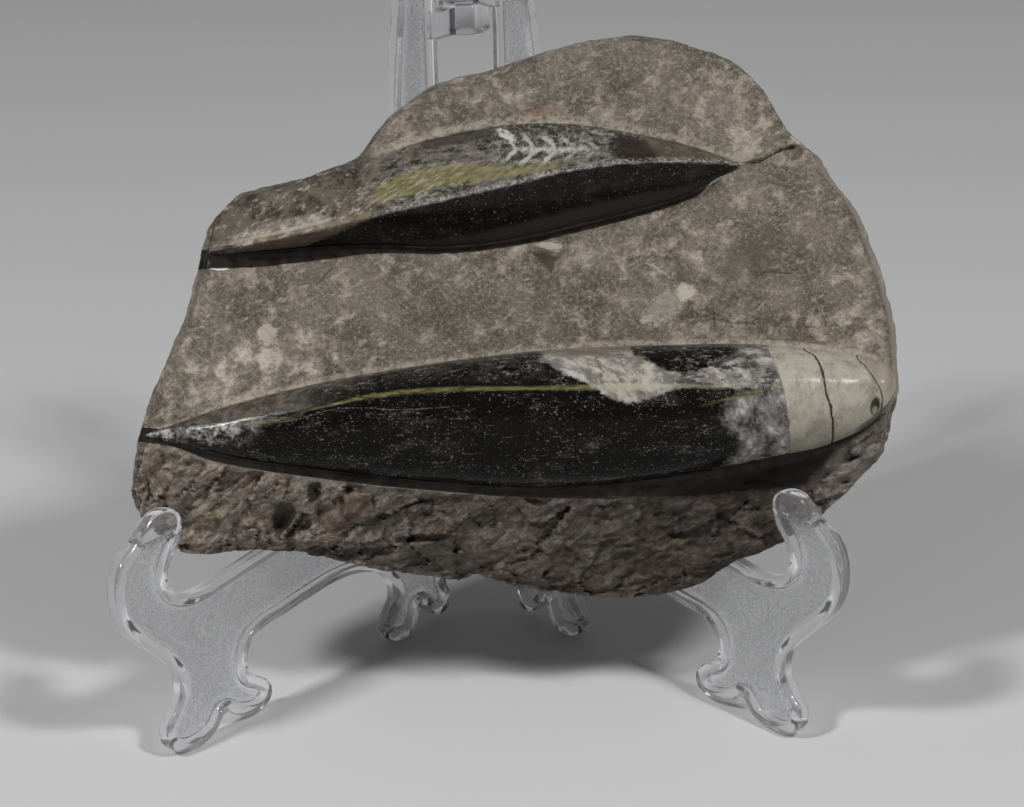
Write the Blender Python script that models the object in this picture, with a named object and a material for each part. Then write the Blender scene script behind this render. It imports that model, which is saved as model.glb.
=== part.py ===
"""Orthoceras fossil: two polished straight-shelled nautiloids in their slab, on a clear stand.

Units are metres, +Z up, the front of the object faces -Y. Lengths below are written in
millimetres and multiplied by MM. The origin is the centre of the footprint, on the ground.
"""

import math

import bmesh
import bpy
import numpy as np
from mathutils import Matrix, Vector, noise

MM = 0.001

# ---- driving dimensions: where things stand -------------------------------------------------

HINGE_FROM_CENTRE = (-7.2, 47.7)   # hinge axis from the origin, x and y
SLAB_POINT = (8.9, -73.6, 81.7)    # the slab's own origin, measured from the hinge axis
SLAB_LEAN = 21.0                   # degrees, the slab leans back on the stand
SLAB_TURN = 1.7                    # degrees, the slab is turned in its own plane
CLEARANCE = 0.65                   # gap all round a fossil in its bed

# ---- driving dimensions: the slab ----------------------------------------------------------
# Slab coordinates: first number to the right, second number up the slab, third out of its face.

SLAB_BACK = -24.5                  # flat sawn back
EDGE_ROUND = 2.2                   # how far the worn front edge draws in
EDGE_DROP = 2.6                    # and how far it drops
GRID_ACROSS = 44
GRID_UP = 32
SIDE_BANDS = ((0.12, 0.0), (0.5, 1.2), (1.0, 3.0))   # depth fraction, how far it draws in

BOTTOM_EDGE = (
    (-87.6, -28.6), (-82.2, -34.0), (-75.7, -36.4), (-66.0, -35.5), (-53.1, -35.5),
    (-39.9, -38.4), (-28.0, -40.5), (-17.9, -42.2), (-12.9, -42.9), (-8.8, -41.5), (-2.9, -43.1),
    (7.9, -45.3), (21.0, -47.0), (34.2, -46.7), (46.1, -44.3), (53.5, -38.8), (59.8, -36.2),
    (66.9, -32.0), (71.5, -26.4),
)
RIGHT_EDGE = (
    (71.5, -26.4), (76.2, -22.0), (81.8, -17.4), (86.6, -12.8), (89.6, -5.2), (91.0, 4.0),
    (90.7, 14.6), (88.8, 25.0), (84.8, 35.6), (80.0, 45.4), (75.2, 51.4), (71.6, 57.4),
    (67.2, 61.6),
)
TOP_EDGE = (
    (-67.2, 47.4), (-63.8, 49.6), (-55.0, 51.4), (-46.0, 54.6), (-36.4, 58.2), (-34.2, 61.8),
    (-30.4, 65.4), (-23.6, 70.2), (-16.8, 75.2), (-5.0, 78.6), (4.4, 82.4), (17.0, 86.2),
    (28.7, 87.0), (40.0, 84.6), (50.4, 81.8), (56.0, 77.4), (58.6, 72.0), (62.8, 66.4),
    (67.2, 61.6),
)
LEFT_EDGE = (
    (-87.6, -28.6), (-89.4, -23.6), (-88.6, -16.0), (-87.0, -7.0), (-83.6, 4.0), (-77.6, 19.6),
    (-75.4, 28.0), (-73.4, 35.4), (-71.4, 41.6), (-67.2, 47.4),
)
SLAB_MIDDLE = (0.7, 19.5)          # every edge is seen from here, edges draw in towards it

GROOVE = 2.0                       # ground margin between the large fossil and the break
BREAK_SLOPE = 0.70                 # the broken lower face falls back at this slope
BREAK_DEPTH = 17.5                 # and ends this far behind the front face
BREAK_ROUGHNESS = 2.5
FACE_ROUGHNESS = 0.35

# Lumps and pits: place, half-width and half-height, height above (+) or below (-) the face
LUMPS = (
    ((-37.0, -24.6), (6.0, 4.8), 2.4), ((-53.0, -28.0), (4.4, 5.6), -3.4),
    ((-76.0, -19.0), (7.0, 4.6), 1.8), ((-22.0, -33.0), (7.0, 4.0), 1.8),
    ((10.0, -34.0), (8.0, 5.0), 2.0), ((24.0, -41.0), (9.0, 3.4), 2.4),
    ((40.0, -29.0), (8.0, 5.0), -2.4), ((-4.0, -28.0), (6.0, 4.0), -1.8),
    ((8.6, 32.0), (3.6, 2.8), -1.2), ((36.0, 23.4), (6.6, 3.0), 0.5),
    ((57.0, -34.0), (9.5, 7.0), 8.0),
)
FLAKES = (((50.0, -43.0), (19.0, 15.0), 14.5),)       # broken off the back's lower edge
RAISED_RIM = ((-51.0, 49.5), (22.0, 7.5), 4.2)        # rock left standing beside the small fossil

# ---- driving dimensions: the fossils --------------------------------------------------------
# Each station: place along the slab, upper edge, ridge, lower edge, height of the ridge.

LARGE_STATIONS = (
    (-86.6, -7.2, -7.4, -7.6, 0.3), (-68.0, -1.1, -5.6, -12.0, 5.4),
    (-44.0, 5.0, -2.2, -15.5, 9.8), (-20.0, 9.2, 3.4, -18.1, 13.0),
    (10.0, 12.7, 3.5, -19.6, 14.6), (35.0, 13.7, 3.5, -17.4, 14.2),
    (60.0, 13.7, 3.4, -12.7, 12.6), (75.0, 12.1, 3.4, -9.2, 10.6),
    (84.6, 10.2, 3.6, -4.0, 7.6), (88.8, 7.4, 4.2, 0.8, 4.0), (89.9, 4.4, 4.2, 4.0, 0.4),
)
SMALL_STATIONS = (
    (-71.6, 36.0, 35.4, 34.8, 1.2), (-60.0, 45.4, 37.0, 35.2, 6.2),
    (-46.0, 51.2, 39.8, 36.4, 9.4), (-32.0, 57.8, 43.2, 36.8, 11.6),
    (-16.0, 62.8, 46.6, 36.2, 12.6), (0.0, 65.4, 50.2, 37.9, 12.6),
    (16.0, 65.3, 53.9, 41.5, 11.4), (30.0, 63.0, 55.6, 45.0, 8.8),
    (43.0, 60.0, 56.0, 49.3, 5.2), (54.2, 56.0, 55.4, 54.8, 0.6),
)
LARGE_BED = 0.74                   # depth of the buried half, as a share of the half-width
SMALL_BED = 0.66
FOSSIL_AROUND = 18
FOSSIL_ALONG = 24

# ---- driving dimensions: the stand ----------------------------------------------------------
# A wing is a flat moulding. Its outline is measured out from the hinge axis and up.

WING_ANGLE = 40.0                  # degrees between each wing and straight ahead
WING_THICK = 4.6
WING_EDGE = 1.2                    # rounding of the moulding's edges
WEB_THICK = 2.2
RIM_WIDTH = 3.1
HOOK_STEP = 56.8                   # the web stops here, the hook's tip is solid
WING_OUTLINE = (
    (12.4, 27.0), (12.4, 90.0), (12.4, 150.0), (12.6, 170.0), (14.3, 175.3), (18.0, 177.0),
    (22.0, 175.2), (24.4, 170.0), (25.2, 163.0), (27.0, 151.0), (28.3, 138.0), (30.0, 100.0),
    (31.6, 80.0), (37.0, 64.0), (47.0, 53.6), (60.0, 46.6), (76.0, 43.0), (90.0, 41.2),
    (98.0, 40.2), (104.0, 39.6), (109.2, 40.4), (112.9, 43.4), (113.6, 47.8), (111.6, 53.0),
    (109.1, 57.5), (109.2, 61.2), (112.0, 63.4), (116.2, 62.8), (120.5, 59.3), (126.9, 54.2),
    (131.3, 48.5), (131.9, 42.5), (128.3, 36.2), (121.5, 30.0), (115.0, 24.6), (111.3, 19.0),
    (111.6, 13.8), (115.0, 9.8), (117.6, 5.6), (116.3, 2.0), (112.6, 0.0), (107.6, 0.0),
    (103.4, 4.3), (99.3, 8.5), (95.5, 4.6), (90.0, 2.5), (85.0, 3.0), (83.3, 6.6),
    (85.6, 10.4), (90.0, 13.2), (91.3, 17.5), (88.8, 22.0), (82.0, 24.2), (70.0, 25.7),
    (57.4, 25.6), (48.0, 23.8), (41.0, 20.5), (36.6, 16.0), (36.2, 12.0), (38.8, 8.6),
    (40.6, 5.2), (39.2, 1.9), (35.4, 0.0), (30.8, 0.0), (28.4, 3.2), (26.3, 6.8),
    (23.5, 4.0), (19.5, 1.6), (16.2, 2.8), (15.2, 6.5), (16.6, 10.5), (16.2, 15.0),
    (13.4, 20.0),
)

BARREL_RADIUS = 6.3
BARREL_HEIGHT = 7.4
BARREL_GAP = 0.3
BARREL_BOTTOMS = (34.0, 152.8)     # the two hinge levels, up from the ground
PIN_RADIUS = 2.4
BORE_RADIUS = 2.8
PIN_LENGTH = 6.4
NECK_REACH = 14.0                  # the barrel's neck runs this far out into the wing's rim
NECK_THICK = 4.2
NECK_STEP = 0.4                    # the neck is this much lower than the barrel, top and bottom

# ---- surfaces ------------------------------------------------------------------------------

SURFACES = {
    "limestone": ((0.215, 0.190, 0.160), 0.85, 1.0),
    "black_calcite": ((0.030, 0.029, 0.027), 0.22, 1.0),
    "veined_calcite": ((0.105, 0.098, 0.082), 0.24, 1.0),
    "clear_plastic": ((0.86, 0.87, 0.89), 0.08, 0.30),
}


def clear_scene():
    for thing in list(bpy.data.objects):
        bpy.data.objects.remove(thing, do_unlink=True)


def new_collection(name):
    collection = bpy.data.collections.new(name)
    bpy.context.scene.collection.children.link(collection)
    return collection


def surface(name):
    """A plain material from the SURFACES table: colour, roughness and alpha."""
    colour, roughness, alpha = SURFACES[name]
    material = bpy.data.materials.new(name)
    material.use_nodes = True
    shader = material.node_tree.nodes["Principled BSDF"]
    shader.inputs["Base Color"].default_value = (*colour, 1.0)
    shader.inputs["Roughness"].default_value = roughness
    shader.inputs["Metallic"].default_value = 0.0
    shader.inputs["Alpha"].default_value = alpha
    return material


def empty(name, collection, parent=None):
    frame = bpy.data.objects.new(name, None)
    collection.objects.link(frame)
    frame.parent = parent
    return frame


def mesh_object(name, bm, collection, parent, material=None):
    """Turns a bmesh in millimetres into an object in metres."""
    bmesh.ops.scale(bm, vec=(MM, MM, MM), verts=bm.verts)
    bmesh.ops.recalc_face_normals(bm, faces=bm.faces)
    mesh = bpy.data.meshes.new(name)
    bm.to_mesh(mesh)
    bm.free()
    thing = bpy.data.objects.new(name, mesh)
    collection.objects.link(thing)
    thing.parent = parent
    if material:
        mesh.materials.append(material)
        mesh.shade_smooth()
        mesh.set_sharp_from_angle(angle=math.radians(35.0))
    return thing


def boolean(thing, other, operation):
    """Cuts, or joins, with another object, which becomes a hidden guide."""
    modifier = thing.modifiers.new(operation.lower(), "BOOLEAN")
    modifier.operation = operation
    modifier.solver = "EXACT"
    modifier.object = other
    other.hide_render = True
    other.display_type = "WIRE"


# ---- lines through a few points --------------------------------------------------------------

def smooth_line(points, steps):
    """Points on a smooth line through the given ones, steps of them for each stretch."""
    points = np.array(points, dtype=float)
    tangent = np.gradient(points, axis=0)
    tangent /= np.linalg.norm(tangent, axis=1)[:, None]
    line = []
    for i, (start, end) in enumerate(zip(points[:-1], points[1:])):
        chord = np.linalg.norm(end - start)
        for step in range(steps):
            t = step / steps
            ease_in = t * t * (3.0 - 2.0 * t)
            leave = t * (1.0 - t) ** 2 * chord * tangent[i]
            arrive = t * t * (t - 1.0) * chord * tangent[i + 1]
            line.append(start + ease_in * (end - start) + leave + arrive)
    line.append(points[-1])
    return np.array(line)


def along(line, share):
    """The point at a share (0 to 1) of a line's length."""
    steps = np.linalg.norm(np.diff(line, axis=0), axis=1)
    run = np.concatenate(([0.0], np.cumsum(steps))) / steps.sum()
    return np.array([np.interp(share, run, line[:, 0]), np.interp(share, run, line[:, 1])])


def station(stations, place):
    """Upper edge, ridge, lower edge and height of a fossil at a place along it."""
    table = np.array(stations)
    places = table[:, 0]
    place = min(max(place, places[0]), places[-1])
    i = min(max(int(np.searchsorted(places, place)) - 1, 0), len(places) - 2)
    span = places[i + 1] - places[i]
    t = (place - places[i]) / span
    slopes = np.gradient(table[:, 1:], places, axis=0)
    ease_in = t * t * (3.0 - 2.0 * t)
    leave = t * (1.0 - t) ** 2 * span * slopes[i]
    arrive = t * t * (t - 1.0) * span * slopes[i + 1]
    return table[i, 1:] + ease_in * (table[i + 1, 1:] - table[i, 1:]) + leave + arrive


def inset_loop(loop, distance):
    """The closed loop moved inwards; points that come too near another stretch are dropped."""
    edge = np.roll(loop, -1, axis=0) - np.roll(loop, 1, axis=0)
    edge /= np.linalg.norm(edge, axis=1)[:, None]
    inward = np.stack((edge[:, 1], -edge[:, 0]), axis=1)
    moved = loop + inward * distance
    start = loop
    run = np.roll(loop, -1, axis=0) - start
    kept = []
    for point in moved:
        share = np.clip(((point - start) * run).sum(axis=1) / (run * run).sum(axis=1), 0.0, 1.0)
        gap = np.linalg.norm(start + run * share[:, None] - point, axis=1).min()
        if gap > distance * 0.97:
            kept.append(point)
    return np.array(kept)


# ---- the slab ------------------------------------------------------------------------------

def draw_in(point, amount):
    towards = np.array(SLAB_MIDDLE) - point
    return point + towards / np.linalg.norm(towards) * amount


def lump(a, b, place, size, height):
    reach = ((a - place[0]) / size[0]) ** 2 + ((b - place[1]) / size[1]) ** 2
    return height * math.exp(-reach)


def front_height(a, b):
    """How far the slab's front stands out of, or behind, its flat face."""
    below = station(LARGE_STATIONS, a)[2] - GROOVE - b
    broken = min(max(below / 4.0, 0.0), 1.0)
    height = -min(max(below, 0.0) * BREAK_SLOPE, BREAK_DEPTH)
    coarse = noise.noise(Vector((a / 11.0, b / 7.0, 3.7)))
    fine = noise.noise(Vector((a / 5.0, b / 3.6, 8.1)))
    height += broken * BREAK_ROUGHNESS * (coarse + 0.7 * fine)
    height += (1.0 - broken) * FACE_ROUGHNESS * coarse
    for place, size, rise in LUMPS:
        height += lump(a, b, place, size, rise)
    return height + lump(a, b, *RAISED_RIM)


def slab_mesh():
    """A sheet spread over the outline, raised to the front face, with its rim carried back."""
    bottom, right, top, left = (
        smooth_line(edge, 3) for edge in (BOTTOM_EDGE, RIGHT_EDGE, TOP_EDGE, LEFT_EDGE)
    )
    corners = left[0], right[0], right[-1], left[-1]
    bm = bmesh.new()
    bmesh.ops.create_grid(bm, x_segments=GRID_ACROSS, y_segments=GRID_UP, size=0.5)
    for vert in bm.verts:
        p, q = vert.co.x + 0.5, vert.co.y + 0.5
        across = (1.0 - q) * along(bottom, p) + q * along(top, p)
        upward = (1.0 - p) * along(left, q) + p * along(right, q)
        low = (1.0 - p) * corners[0] + p * corners[1]
        high = (1.0 - p) * corners[3] + p * corners[2]
        place = across + upward - (1.0 - q) * low - q * high
        near_edge = min(p * GRID_ACROSS, (1.0 - p) * GRID_ACROSS, q * GRID_UP, (1.0 - q) * GRID_UP)
        worn = max(1.0 - near_edge / 1.5, 0.0)
        place = draw_in(place, EDGE_ROUND * worn)
        height = front_height(*place)
        drop = EDGE_DROP * worn * (1.0 + min(height, 0.0) / BREAK_DEPTH)
        vert.co = (place[0], place[1], height - drop)
    rim = [edge for edge in bm.edges if edge.is_boundary]
    front = {}
    for depth_share, inset in SIDE_BANDS:
        made = bmesh.ops.extrude_edge_only(bm, edges=rim)["geom"]
        rim = [item for item in made if isinstance(item, bmesh.types.BMEdge)]
        rim = [edge for edge in rim if edge.is_boundary]
        for vert in {vert for edge in rim for vert in edge.verts}:
            source = next(edge.other_vert(vert) for edge in vert.link_edges if edge not in rim)
            start = front.get(source, source.co.copy())
            front[vert] = start
            place = np.array(start.xy)
            flaked = sum(lump(*place, *flake) for flake in FLAKES) * depth_share
            place = draw_in(place, inset + flaked - EDGE_ROUND)
            wander = 0.0 if depth_share == 1.0 else noise.noise(Vector((*(place / 9.0), depth_share)))
            place = draw_in(place, wander)
            vert.co = (place[0], place[1], start.z + (SLAB_BACK - start.z) * depth_share)
    bmesh.ops.holes_fill(bm, edges=rim, sides=0)
    return bm


# ---- the fossils ---------------------------------------------------------------------------

def spindle_mesh(stations, bed, faceted, grow=0.0):
    """A sphere drawn out to the stations: front half to the ridge, back half to the bed."""
    first, last = stations[0][0] - grow, stations[-1][0] + grow
    bm = bmesh.new()
    bmesh.ops.create_uvsphere(bm, u_segments=FOSSIL_AROUND, v_segments=FOSSIL_ALONG, radius=1.0)
    for vert in bm.verts:
        turn = math.atan2(vert.co.y, vert.co.x)
        side, lift = math.cos(turn), math.sin(turn)
        place = 0.5 * (first + last) + 0.5 * (last - first) * vert.co.z
        upper, ridge, lower, height = station(stations, place)
        upper, lower = upper + grow, lower - grow
        height += grow
        half = 0.5 * (upper - lower)
        edge = upper if side > 0.0 else lower
        pole = abs(vert.co.z) > 0.9999
        if pole:
            vert.co = (place, ridge, 0.0)
        elif lift >= 0.0:
            out = (1.0 - abs(side)) * (1.0 + 0.35 * abs(side)) if faceted else lift
            vert.co = (place, ridge + (edge - ridge) * abs(side), height * out)
        else:
            vert.co = (place, lower + half * (1.0 + side), half * bed * lift)
    return bm


# ---- the stand -----------------------------------------------------------------------------

def plate(name, loop, thick, edge, collection, parent):
    """A flat outline as a filled curve, extruded, with rounded edges, made into a mesh."""
    curve = bpy.data.curves.new(name, "CURVE")
    curve.dimensions = "2D"
    curve.fill_mode = "BOTH"
    curve.extrude = (thick / 2.0 - edge) * MM
    curve.bevel_depth = edge * MM
    curve.bevel_resolution = 0
    curve.offset = -edge * MM
    spline = curve.splines.new("POLY")
    spline.points.add(len(loop) - 1)
    spline.use_cyclic_u = True
    for point, place in zip(spline.points, loop):
        point.co = (place[0] * MM, place[1] * MM, 0.0, 1.0)
    shape = bpy.data.objects.new(name + "_curve", curve)
    collection.objects.link(shape)
    evaluated = shape.evaluated_get(bpy.context.evaluated_depsgraph_get())
    mesh = bpy.data.meshes.new_from_object(evaluated)
    bpy.data.objects.remove(shape, do_unlink=True)
    bm = bmesh.new()
    bm.from_mesh(mesh)
    bmesh.ops.remove_doubles(bm, verts=bm.verts, dist=0.01 * MM)
    bmesh.ops.recalc_face_normals(bm, faces=bm.faces)
    bm.to_mesh(mesh)
    bm.free()
    thing = bpy.data.objects.new(name, mesh)
    collection.objects.link(thing)
    thing.parent = parent
    return thing


def upright_cylinder(name, radius, low, high, collection, parent):
    """A round pin or barrel on the hinge axis. In wing coordinates up is the second axis."""
    bm = bmesh.new()
    bmesh.ops.create_cone(
        bm, cap_ends=True, segments=20, radius1=radius, radius2=radius, depth=high - low,
        matrix=Matrix.Translation((0.0, (low + high) / 2.0, 0.0)) @ Matrix.Rotation(math.pi / 2.0, 4, "X"),
    )
    return mesh_object(name, bm, collection, parent)


def neck(name, low, high, collection, parent):
    bm = bmesh.new()
    start = PIN_RADIUS + 1.2
    size = Matrix.Diagonal((NECK_REACH - start, high - low - 2.0 * NECK_STEP, NECK_THICK, 1.0))
    centre = Matrix.Translation(((NECK_REACH + start) / 2.0, (low + high) / 2.0, 0.0))
    bmesh.ops.create_cube(bm, size=1.0, matrix=centre @ size)
    return mesh_object(name, bm, collection, parent)


def wing(name, side, carries_pins, frame, parts, guides, material):
    """One half of the stand. Side is -1 for the left half and 1 for the right half."""
    across = math.radians(WING_ANGLE)
    out = Vector((side * math.sin(across), -math.cos(across), 0.0))
    up = Vector((0.0, 0.0, 1.0))
    stand = empty(name + "_plane", parts, frame)
    stand.matrix_local = Matrix((out, up, out.cross(up))).transposed().to_4x4()

    outline = np.array(WING_OUTLINE)
    body = plate(name, outline, WING_THICK, WING_EDGE, parts, stand)

    web = inset_loop(outline, RIM_WIDTH)
    web = web[~((web[:, 0] > 100.0) & (web[:, 1] > HOOK_STEP))]
    depth = (WING_THICK - WEB_THICK) / 2.0
    for face in (-1, 1):
        recess = plate(name + "_recess", web, depth * 2.0, 0.0, guides, stand)
        recess.location = (0.0, 0.0, face * WING_THICK / 2.0 * MM)
        boolean(body, recess, "DIFFERENCE")

    for level in BARREL_BOTTOMS:
        low = level + (BARREL_HEIGHT + BARREL_GAP if carries_pins else 0.0)
        high = low + BARREL_HEIGHT
        boolean(body, neck(name + "_neck", low, high, guides, stand), "UNION")
        barrel = upright_cylinder(name + "_barrel", BARREL_RADIUS, low, high, guides, stand)
        boolean(body, barrel, "UNION")
        if carries_pins:
            pin = upright_cylinder(name + "_pin", PIN_RADIUS, low - PIN_LENGTH, low + 1.0, guides, stand)
            boolean(body, pin, "UNION")
        else:
            bore = upright_cylinder(name + "_bore", BORE_RADIUS, low - 1.0, high + 1.0, guides, stand)
            boolean(body, bore, "DIFFERENCE")
    body.data.materials.append(material)
    body.data.shade_smooth()
    body.data.set_sharp_from_angle(angle=math.radians(35.0))
    return body


# ---- putting it together -------------------------------------------------------------------

def main():
    clear_scene()
    parts = new_collection("orthoceras_fossil")
    guides = new_collection("cutters")
    hinge = empty("hinge_axis", parts)
    hinge.location = Vector((*HINGE_FROM_CENTRE, 0.0)) * MM

    slab = empty("slab_frame", parts, hinge)
    lean = Matrix.Rotation(math.radians(90.0 - SLAB_LEAN), 4, "X")
    turn = Matrix.Rotation(math.radians(-SLAB_TURN), 4, "Z")
    slab.matrix_local = Matrix.Translation(Vector(SLAB_POINT) * MM) @ lean @ turn

    matrix = mesh_object("matrix_slab", slab_mesh(), parts, slab, surface("limestone"))
    fossils = (
        ("large_orthoceras", LARGE_STATIONS, LARGE_BED, False, "black_calcite"),
        ("small_orthoceras", SMALL_STATIONS, SMALL_BED, True, "veined_calcite"),
    )
    for name, stations, bed, faceted, finish in fossils:
        mesh_object(name, spindle_mesh(stations, bed, faceted), parts, slab, surface(finish))
        bed_mesh = spindle_mesh(stations, bed, faceted, CLEARANCE)
        boolean(matrix, mesh_object(name + "_bed", bed_mesh, guides, slab), "DIFFERENCE")

    clear = surface("clear_plastic")
    wing("stand_left_wing", -1, False, hinge, parts, guides, clear)
    wing("stand_right_wing", 1, True, hinge, parts, guides, clear)


main()
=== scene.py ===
"""Orthoceras fossil: two polished nautiloids in a limestone slab, leaning on a clear plastic stand.

Lengths in the tables are millimetres, in the slab's or a wing's own coordinates, and become
metres in the row frame when a mesh is made. Every piece's object stays at the origin.
"""

import math

import bmesh
import bpy
import numpy as np
from mathutils import Matrix, Vector, noise
from mathutils.geometry import delaunay_2d_cdt


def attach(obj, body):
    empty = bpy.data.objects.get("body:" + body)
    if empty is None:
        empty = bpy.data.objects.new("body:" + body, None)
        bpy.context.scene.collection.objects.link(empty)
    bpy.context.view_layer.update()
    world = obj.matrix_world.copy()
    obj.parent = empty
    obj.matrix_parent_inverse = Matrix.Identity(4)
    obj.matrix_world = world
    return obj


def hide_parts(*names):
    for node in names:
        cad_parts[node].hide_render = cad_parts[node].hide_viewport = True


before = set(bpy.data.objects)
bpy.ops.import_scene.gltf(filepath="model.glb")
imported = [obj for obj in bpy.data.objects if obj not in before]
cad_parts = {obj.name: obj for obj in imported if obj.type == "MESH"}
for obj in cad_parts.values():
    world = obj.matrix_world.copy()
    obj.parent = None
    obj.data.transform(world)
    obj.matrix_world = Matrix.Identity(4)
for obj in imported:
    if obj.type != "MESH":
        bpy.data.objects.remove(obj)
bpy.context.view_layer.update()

MM = 0.001
SHARP_ANGLE = math.radians(50.0)

# ---- where things stand -------------------------------------------------------------------

HINGE = Vector((-7.2, 47.7, 0.0))  # the foot of the hinge's axis
SLAB_POINT = Vector((8.9, -73.6, 81.7))   # from there to the zero of the slab's own coordinates
SLAB_LEAN = 21.0                   # degrees back from upright
SLAB_TURN = 1.7                    # degrees clockwise, seen from the front
WING_ANGLE = 40.0                  # degrees from the middle plane to each wing

SLAB_ORIGIN = HINGE + SLAB_POINT
SLAB_TILT = Matrix.Rotation(math.radians(90.0 - SLAB_LEAN), 3, "X")
SLAB_AXES = SLAB_TILT @ Matrix.Rotation(math.radians(-SLAB_TURN), 3, "Z")

# ---- the slab's outline and face ----------------------------------------------------------
# First number to the right, second number up the slab, third out of its face.

SLAB_BACK = -24.5
SLAB_WIDTH = 172.0                 # on the whole
SLAB_MIDDLE = (0.7, 19.5)
BOTTOM_EDGE = (
    (-88.4, -28.6), (-82.6, -34.4), (-75.7, -36.4), (-66.0, -35.5), (-53.1, -35.5),
    (-39.9, -38.4), (-28.0, -40.5), (-17.9, -42.2), (-12.9, -42.9), (-8.8, -41.5), (-2.9, -43.1),
    (7.9, -45.3), (21.0, -47.0), (34.2, -46.7), (46.1, -43.8), (53.5, -38.3), (59.8, -36.0),
    (66.9, -32.0), (71.5, -26.4),
)
RIGHT_EDGE = (
    (71.5, -26.4), (76.8, -22.6), (82.6, -17.9), (87.3, -13.0), (89.9, -5.2), (91.0, 4.0),
    (90.7, 14.6), (88.8, 25.0), (85.2, 35.6), (81.0, 45.8), (76.2, 51.8), (72.0, 58.0),
    (67.4, 62.4),
)
TOP_EDGE = (
    (-67.2, 46.8), (-63.8, 49.4), (-55.0, 51.4), (-46.0, 54.0), (-36.2, 58.0), (-34.2, 61.0),
    (-29.6, 66.8), (-23.8, 72.0), (-17.6, 75.6), (-5.0, 78.6), (4.4, 82.2), (17.0, 85.6),
    (28.7, 87.0), (40.0, 84.8), (50.4, 81.8), (56.0, 77.6), (58.8, 72.0), (61.8, 66.8),
    (67.4, 62.4),
)
LEFT_EDGE = (
    (-88.4, -28.6), (-90.6, -23.6), (-89.7, -16.0), (-88.0, -7.0), (-84.2, 4.0), (-77.6, 19.6),
    (-75.4, 28.0), (-73.4, 35.4), (-71.4, 41.6), (-67.2, 46.8),
)

COLUMNS = 300                      # of the front's grid, and its rows
ROWS = 256
TRIAL_ROWS = 600                   # even rows, from which the crowded ones are read
EDGE_ROUND = 1.5                   # the worn edge is drawn in this far,
EDGE_DROP = 2.6                    # falls back this far,
EDGE_REACH = 4.6                   # and starts this far in
# The side's rings, as shares of the way back, and how far in it lies at some of them
SIDE_RINGS = (0.012, 0.03, 0.055, 0.085, 0.12, *np.linspace(0.2, 0.965, 8), 1.0)
SIDE_INSET = (
    (0.0, EDGE_ROUND), (0.012, 1.05), (0.03, 0.65), (0.055, 0.35), (0.085, 0.13), (0.12, 0.0),
    (0.5, 1.2), (0.965, 2.9), (1.0, 3.6),
)
BACK_RINGS = (0.05, 0.16, 0.34, 0.56, 0.8)
BACK_HOLLOW = 0.7
GROOVE = 2.0                       # from the large fossil's lower edge to the break
BREAK_SLOPE = 0.70
BREAK_DEPTH = 17.5

# Lumps and pits: place, half-width and half-height, height above (+) or below (-) the face
LUMPS = (
    ((-37.0, -24.6), (6.0, 4.8), 2.4), ((-53.0, -28.0), (4.4, 5.6), -3.4),
    ((-76.0, -19.0), (7.0, 4.6), 1.8), ((-22.0, -33.0), (7.0, 4.0), 1.8),
    ((10.0, -34.0), (8.0, 5.0), 2.0), ((24.0, -41.0), (9.0, 3.4), 2.4),
    ((40.0, -29.0), (8.0, 5.0), -2.4), ((-4.0, -28.0), (6.0, 4.0), -1.8),
    ((8.4, 33.2), (2.8, 2.2), -1.0), ((36.0, 23.4), (6.6, 3.0), 0.5),
    ((57.0, -34.0), (9.5, 7.0), 8.0),
    # in the broken zone: a smooth bowl, a hollow, a tooth, a fan-shaped scar, a dark underside
    ((-54.0, -27.0), (3.4, 5.6), -1.4), ((-46.2, -20.4), (1.6, 2.4), -1.8),
    ((-15.4, -41.0), (1.5, 1.5), 1.4), ((23.8, -38.6), (4.4, 4.6), -1.4),
    ((-52.0, -35.4), (18.0, 2.4), -1.6), ((-21.6, -32.0), (8.0, 0.9), -1.6),
    ((76.0, -16.0), (4.6, 3.0), 1.2), ((83.0, -13.0), (3.0, 3.6), -1.2),
)
# The same for the raised rock above the small fossil, and for the flake off the side at the right wing
RAISED_RIM = ((-51.0, 49.5), (22.0, 7.5), 4.2)
FLAKE = ((50.0, -43.0), (19.0, 15.0), 15.6)
FLUSH = (-43.0, -33.0)             # left of here the rock is flush with the small fossil's flank
# Places along the slab, and how far below the large fossil it is smooth there
SMOOTH_BELOW = ((18.0, 42.0, 54.0, 66.0, 73.0, 80.0), (0.0, 3.4, 5.4, 6.2, 3.0, 0.0))

# Cracks in the face: points along each, half its width, how deep
CRACKS = (
    (((54.8, 56.0), (58.0, 56.6), (61.2, 58.4), (66.0, 60.2)), 0.5, 1.2),
    (((-41.7, 32.2), (-43.4, 30.2), (-45.4, 27.7)), 0.45, 0.5),
    (((-27.0, 24.0), (-24.0, 21.4), (-21.8, 19.0)), 0.45, 0.5),
    (((57.0, 29.6), (62.0, 30.8), (66.4, 30.2)), 0.45, 0.8),
    (((41.0, 22.4), (49.0, 19.4), (57.0, 18.6)), 0.4, 0.5),
    (((47.0, 22.6), (47.6, 17.6)), 0.4, 0.5), (((31.0, 33.0), (34.6, 31.2), (37.4, 28.8)), 0.45, -0.35),
)
GOUGE = ((4.3, 35.6), (11.2, 34.4), (9.3, 30.3))   # corners of a dark triangle

# ---- the fossils --------------------------------------------------------------------------
# Each station: place along the slab, upper edge, ridge, lower edge, height of the ridge.

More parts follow.
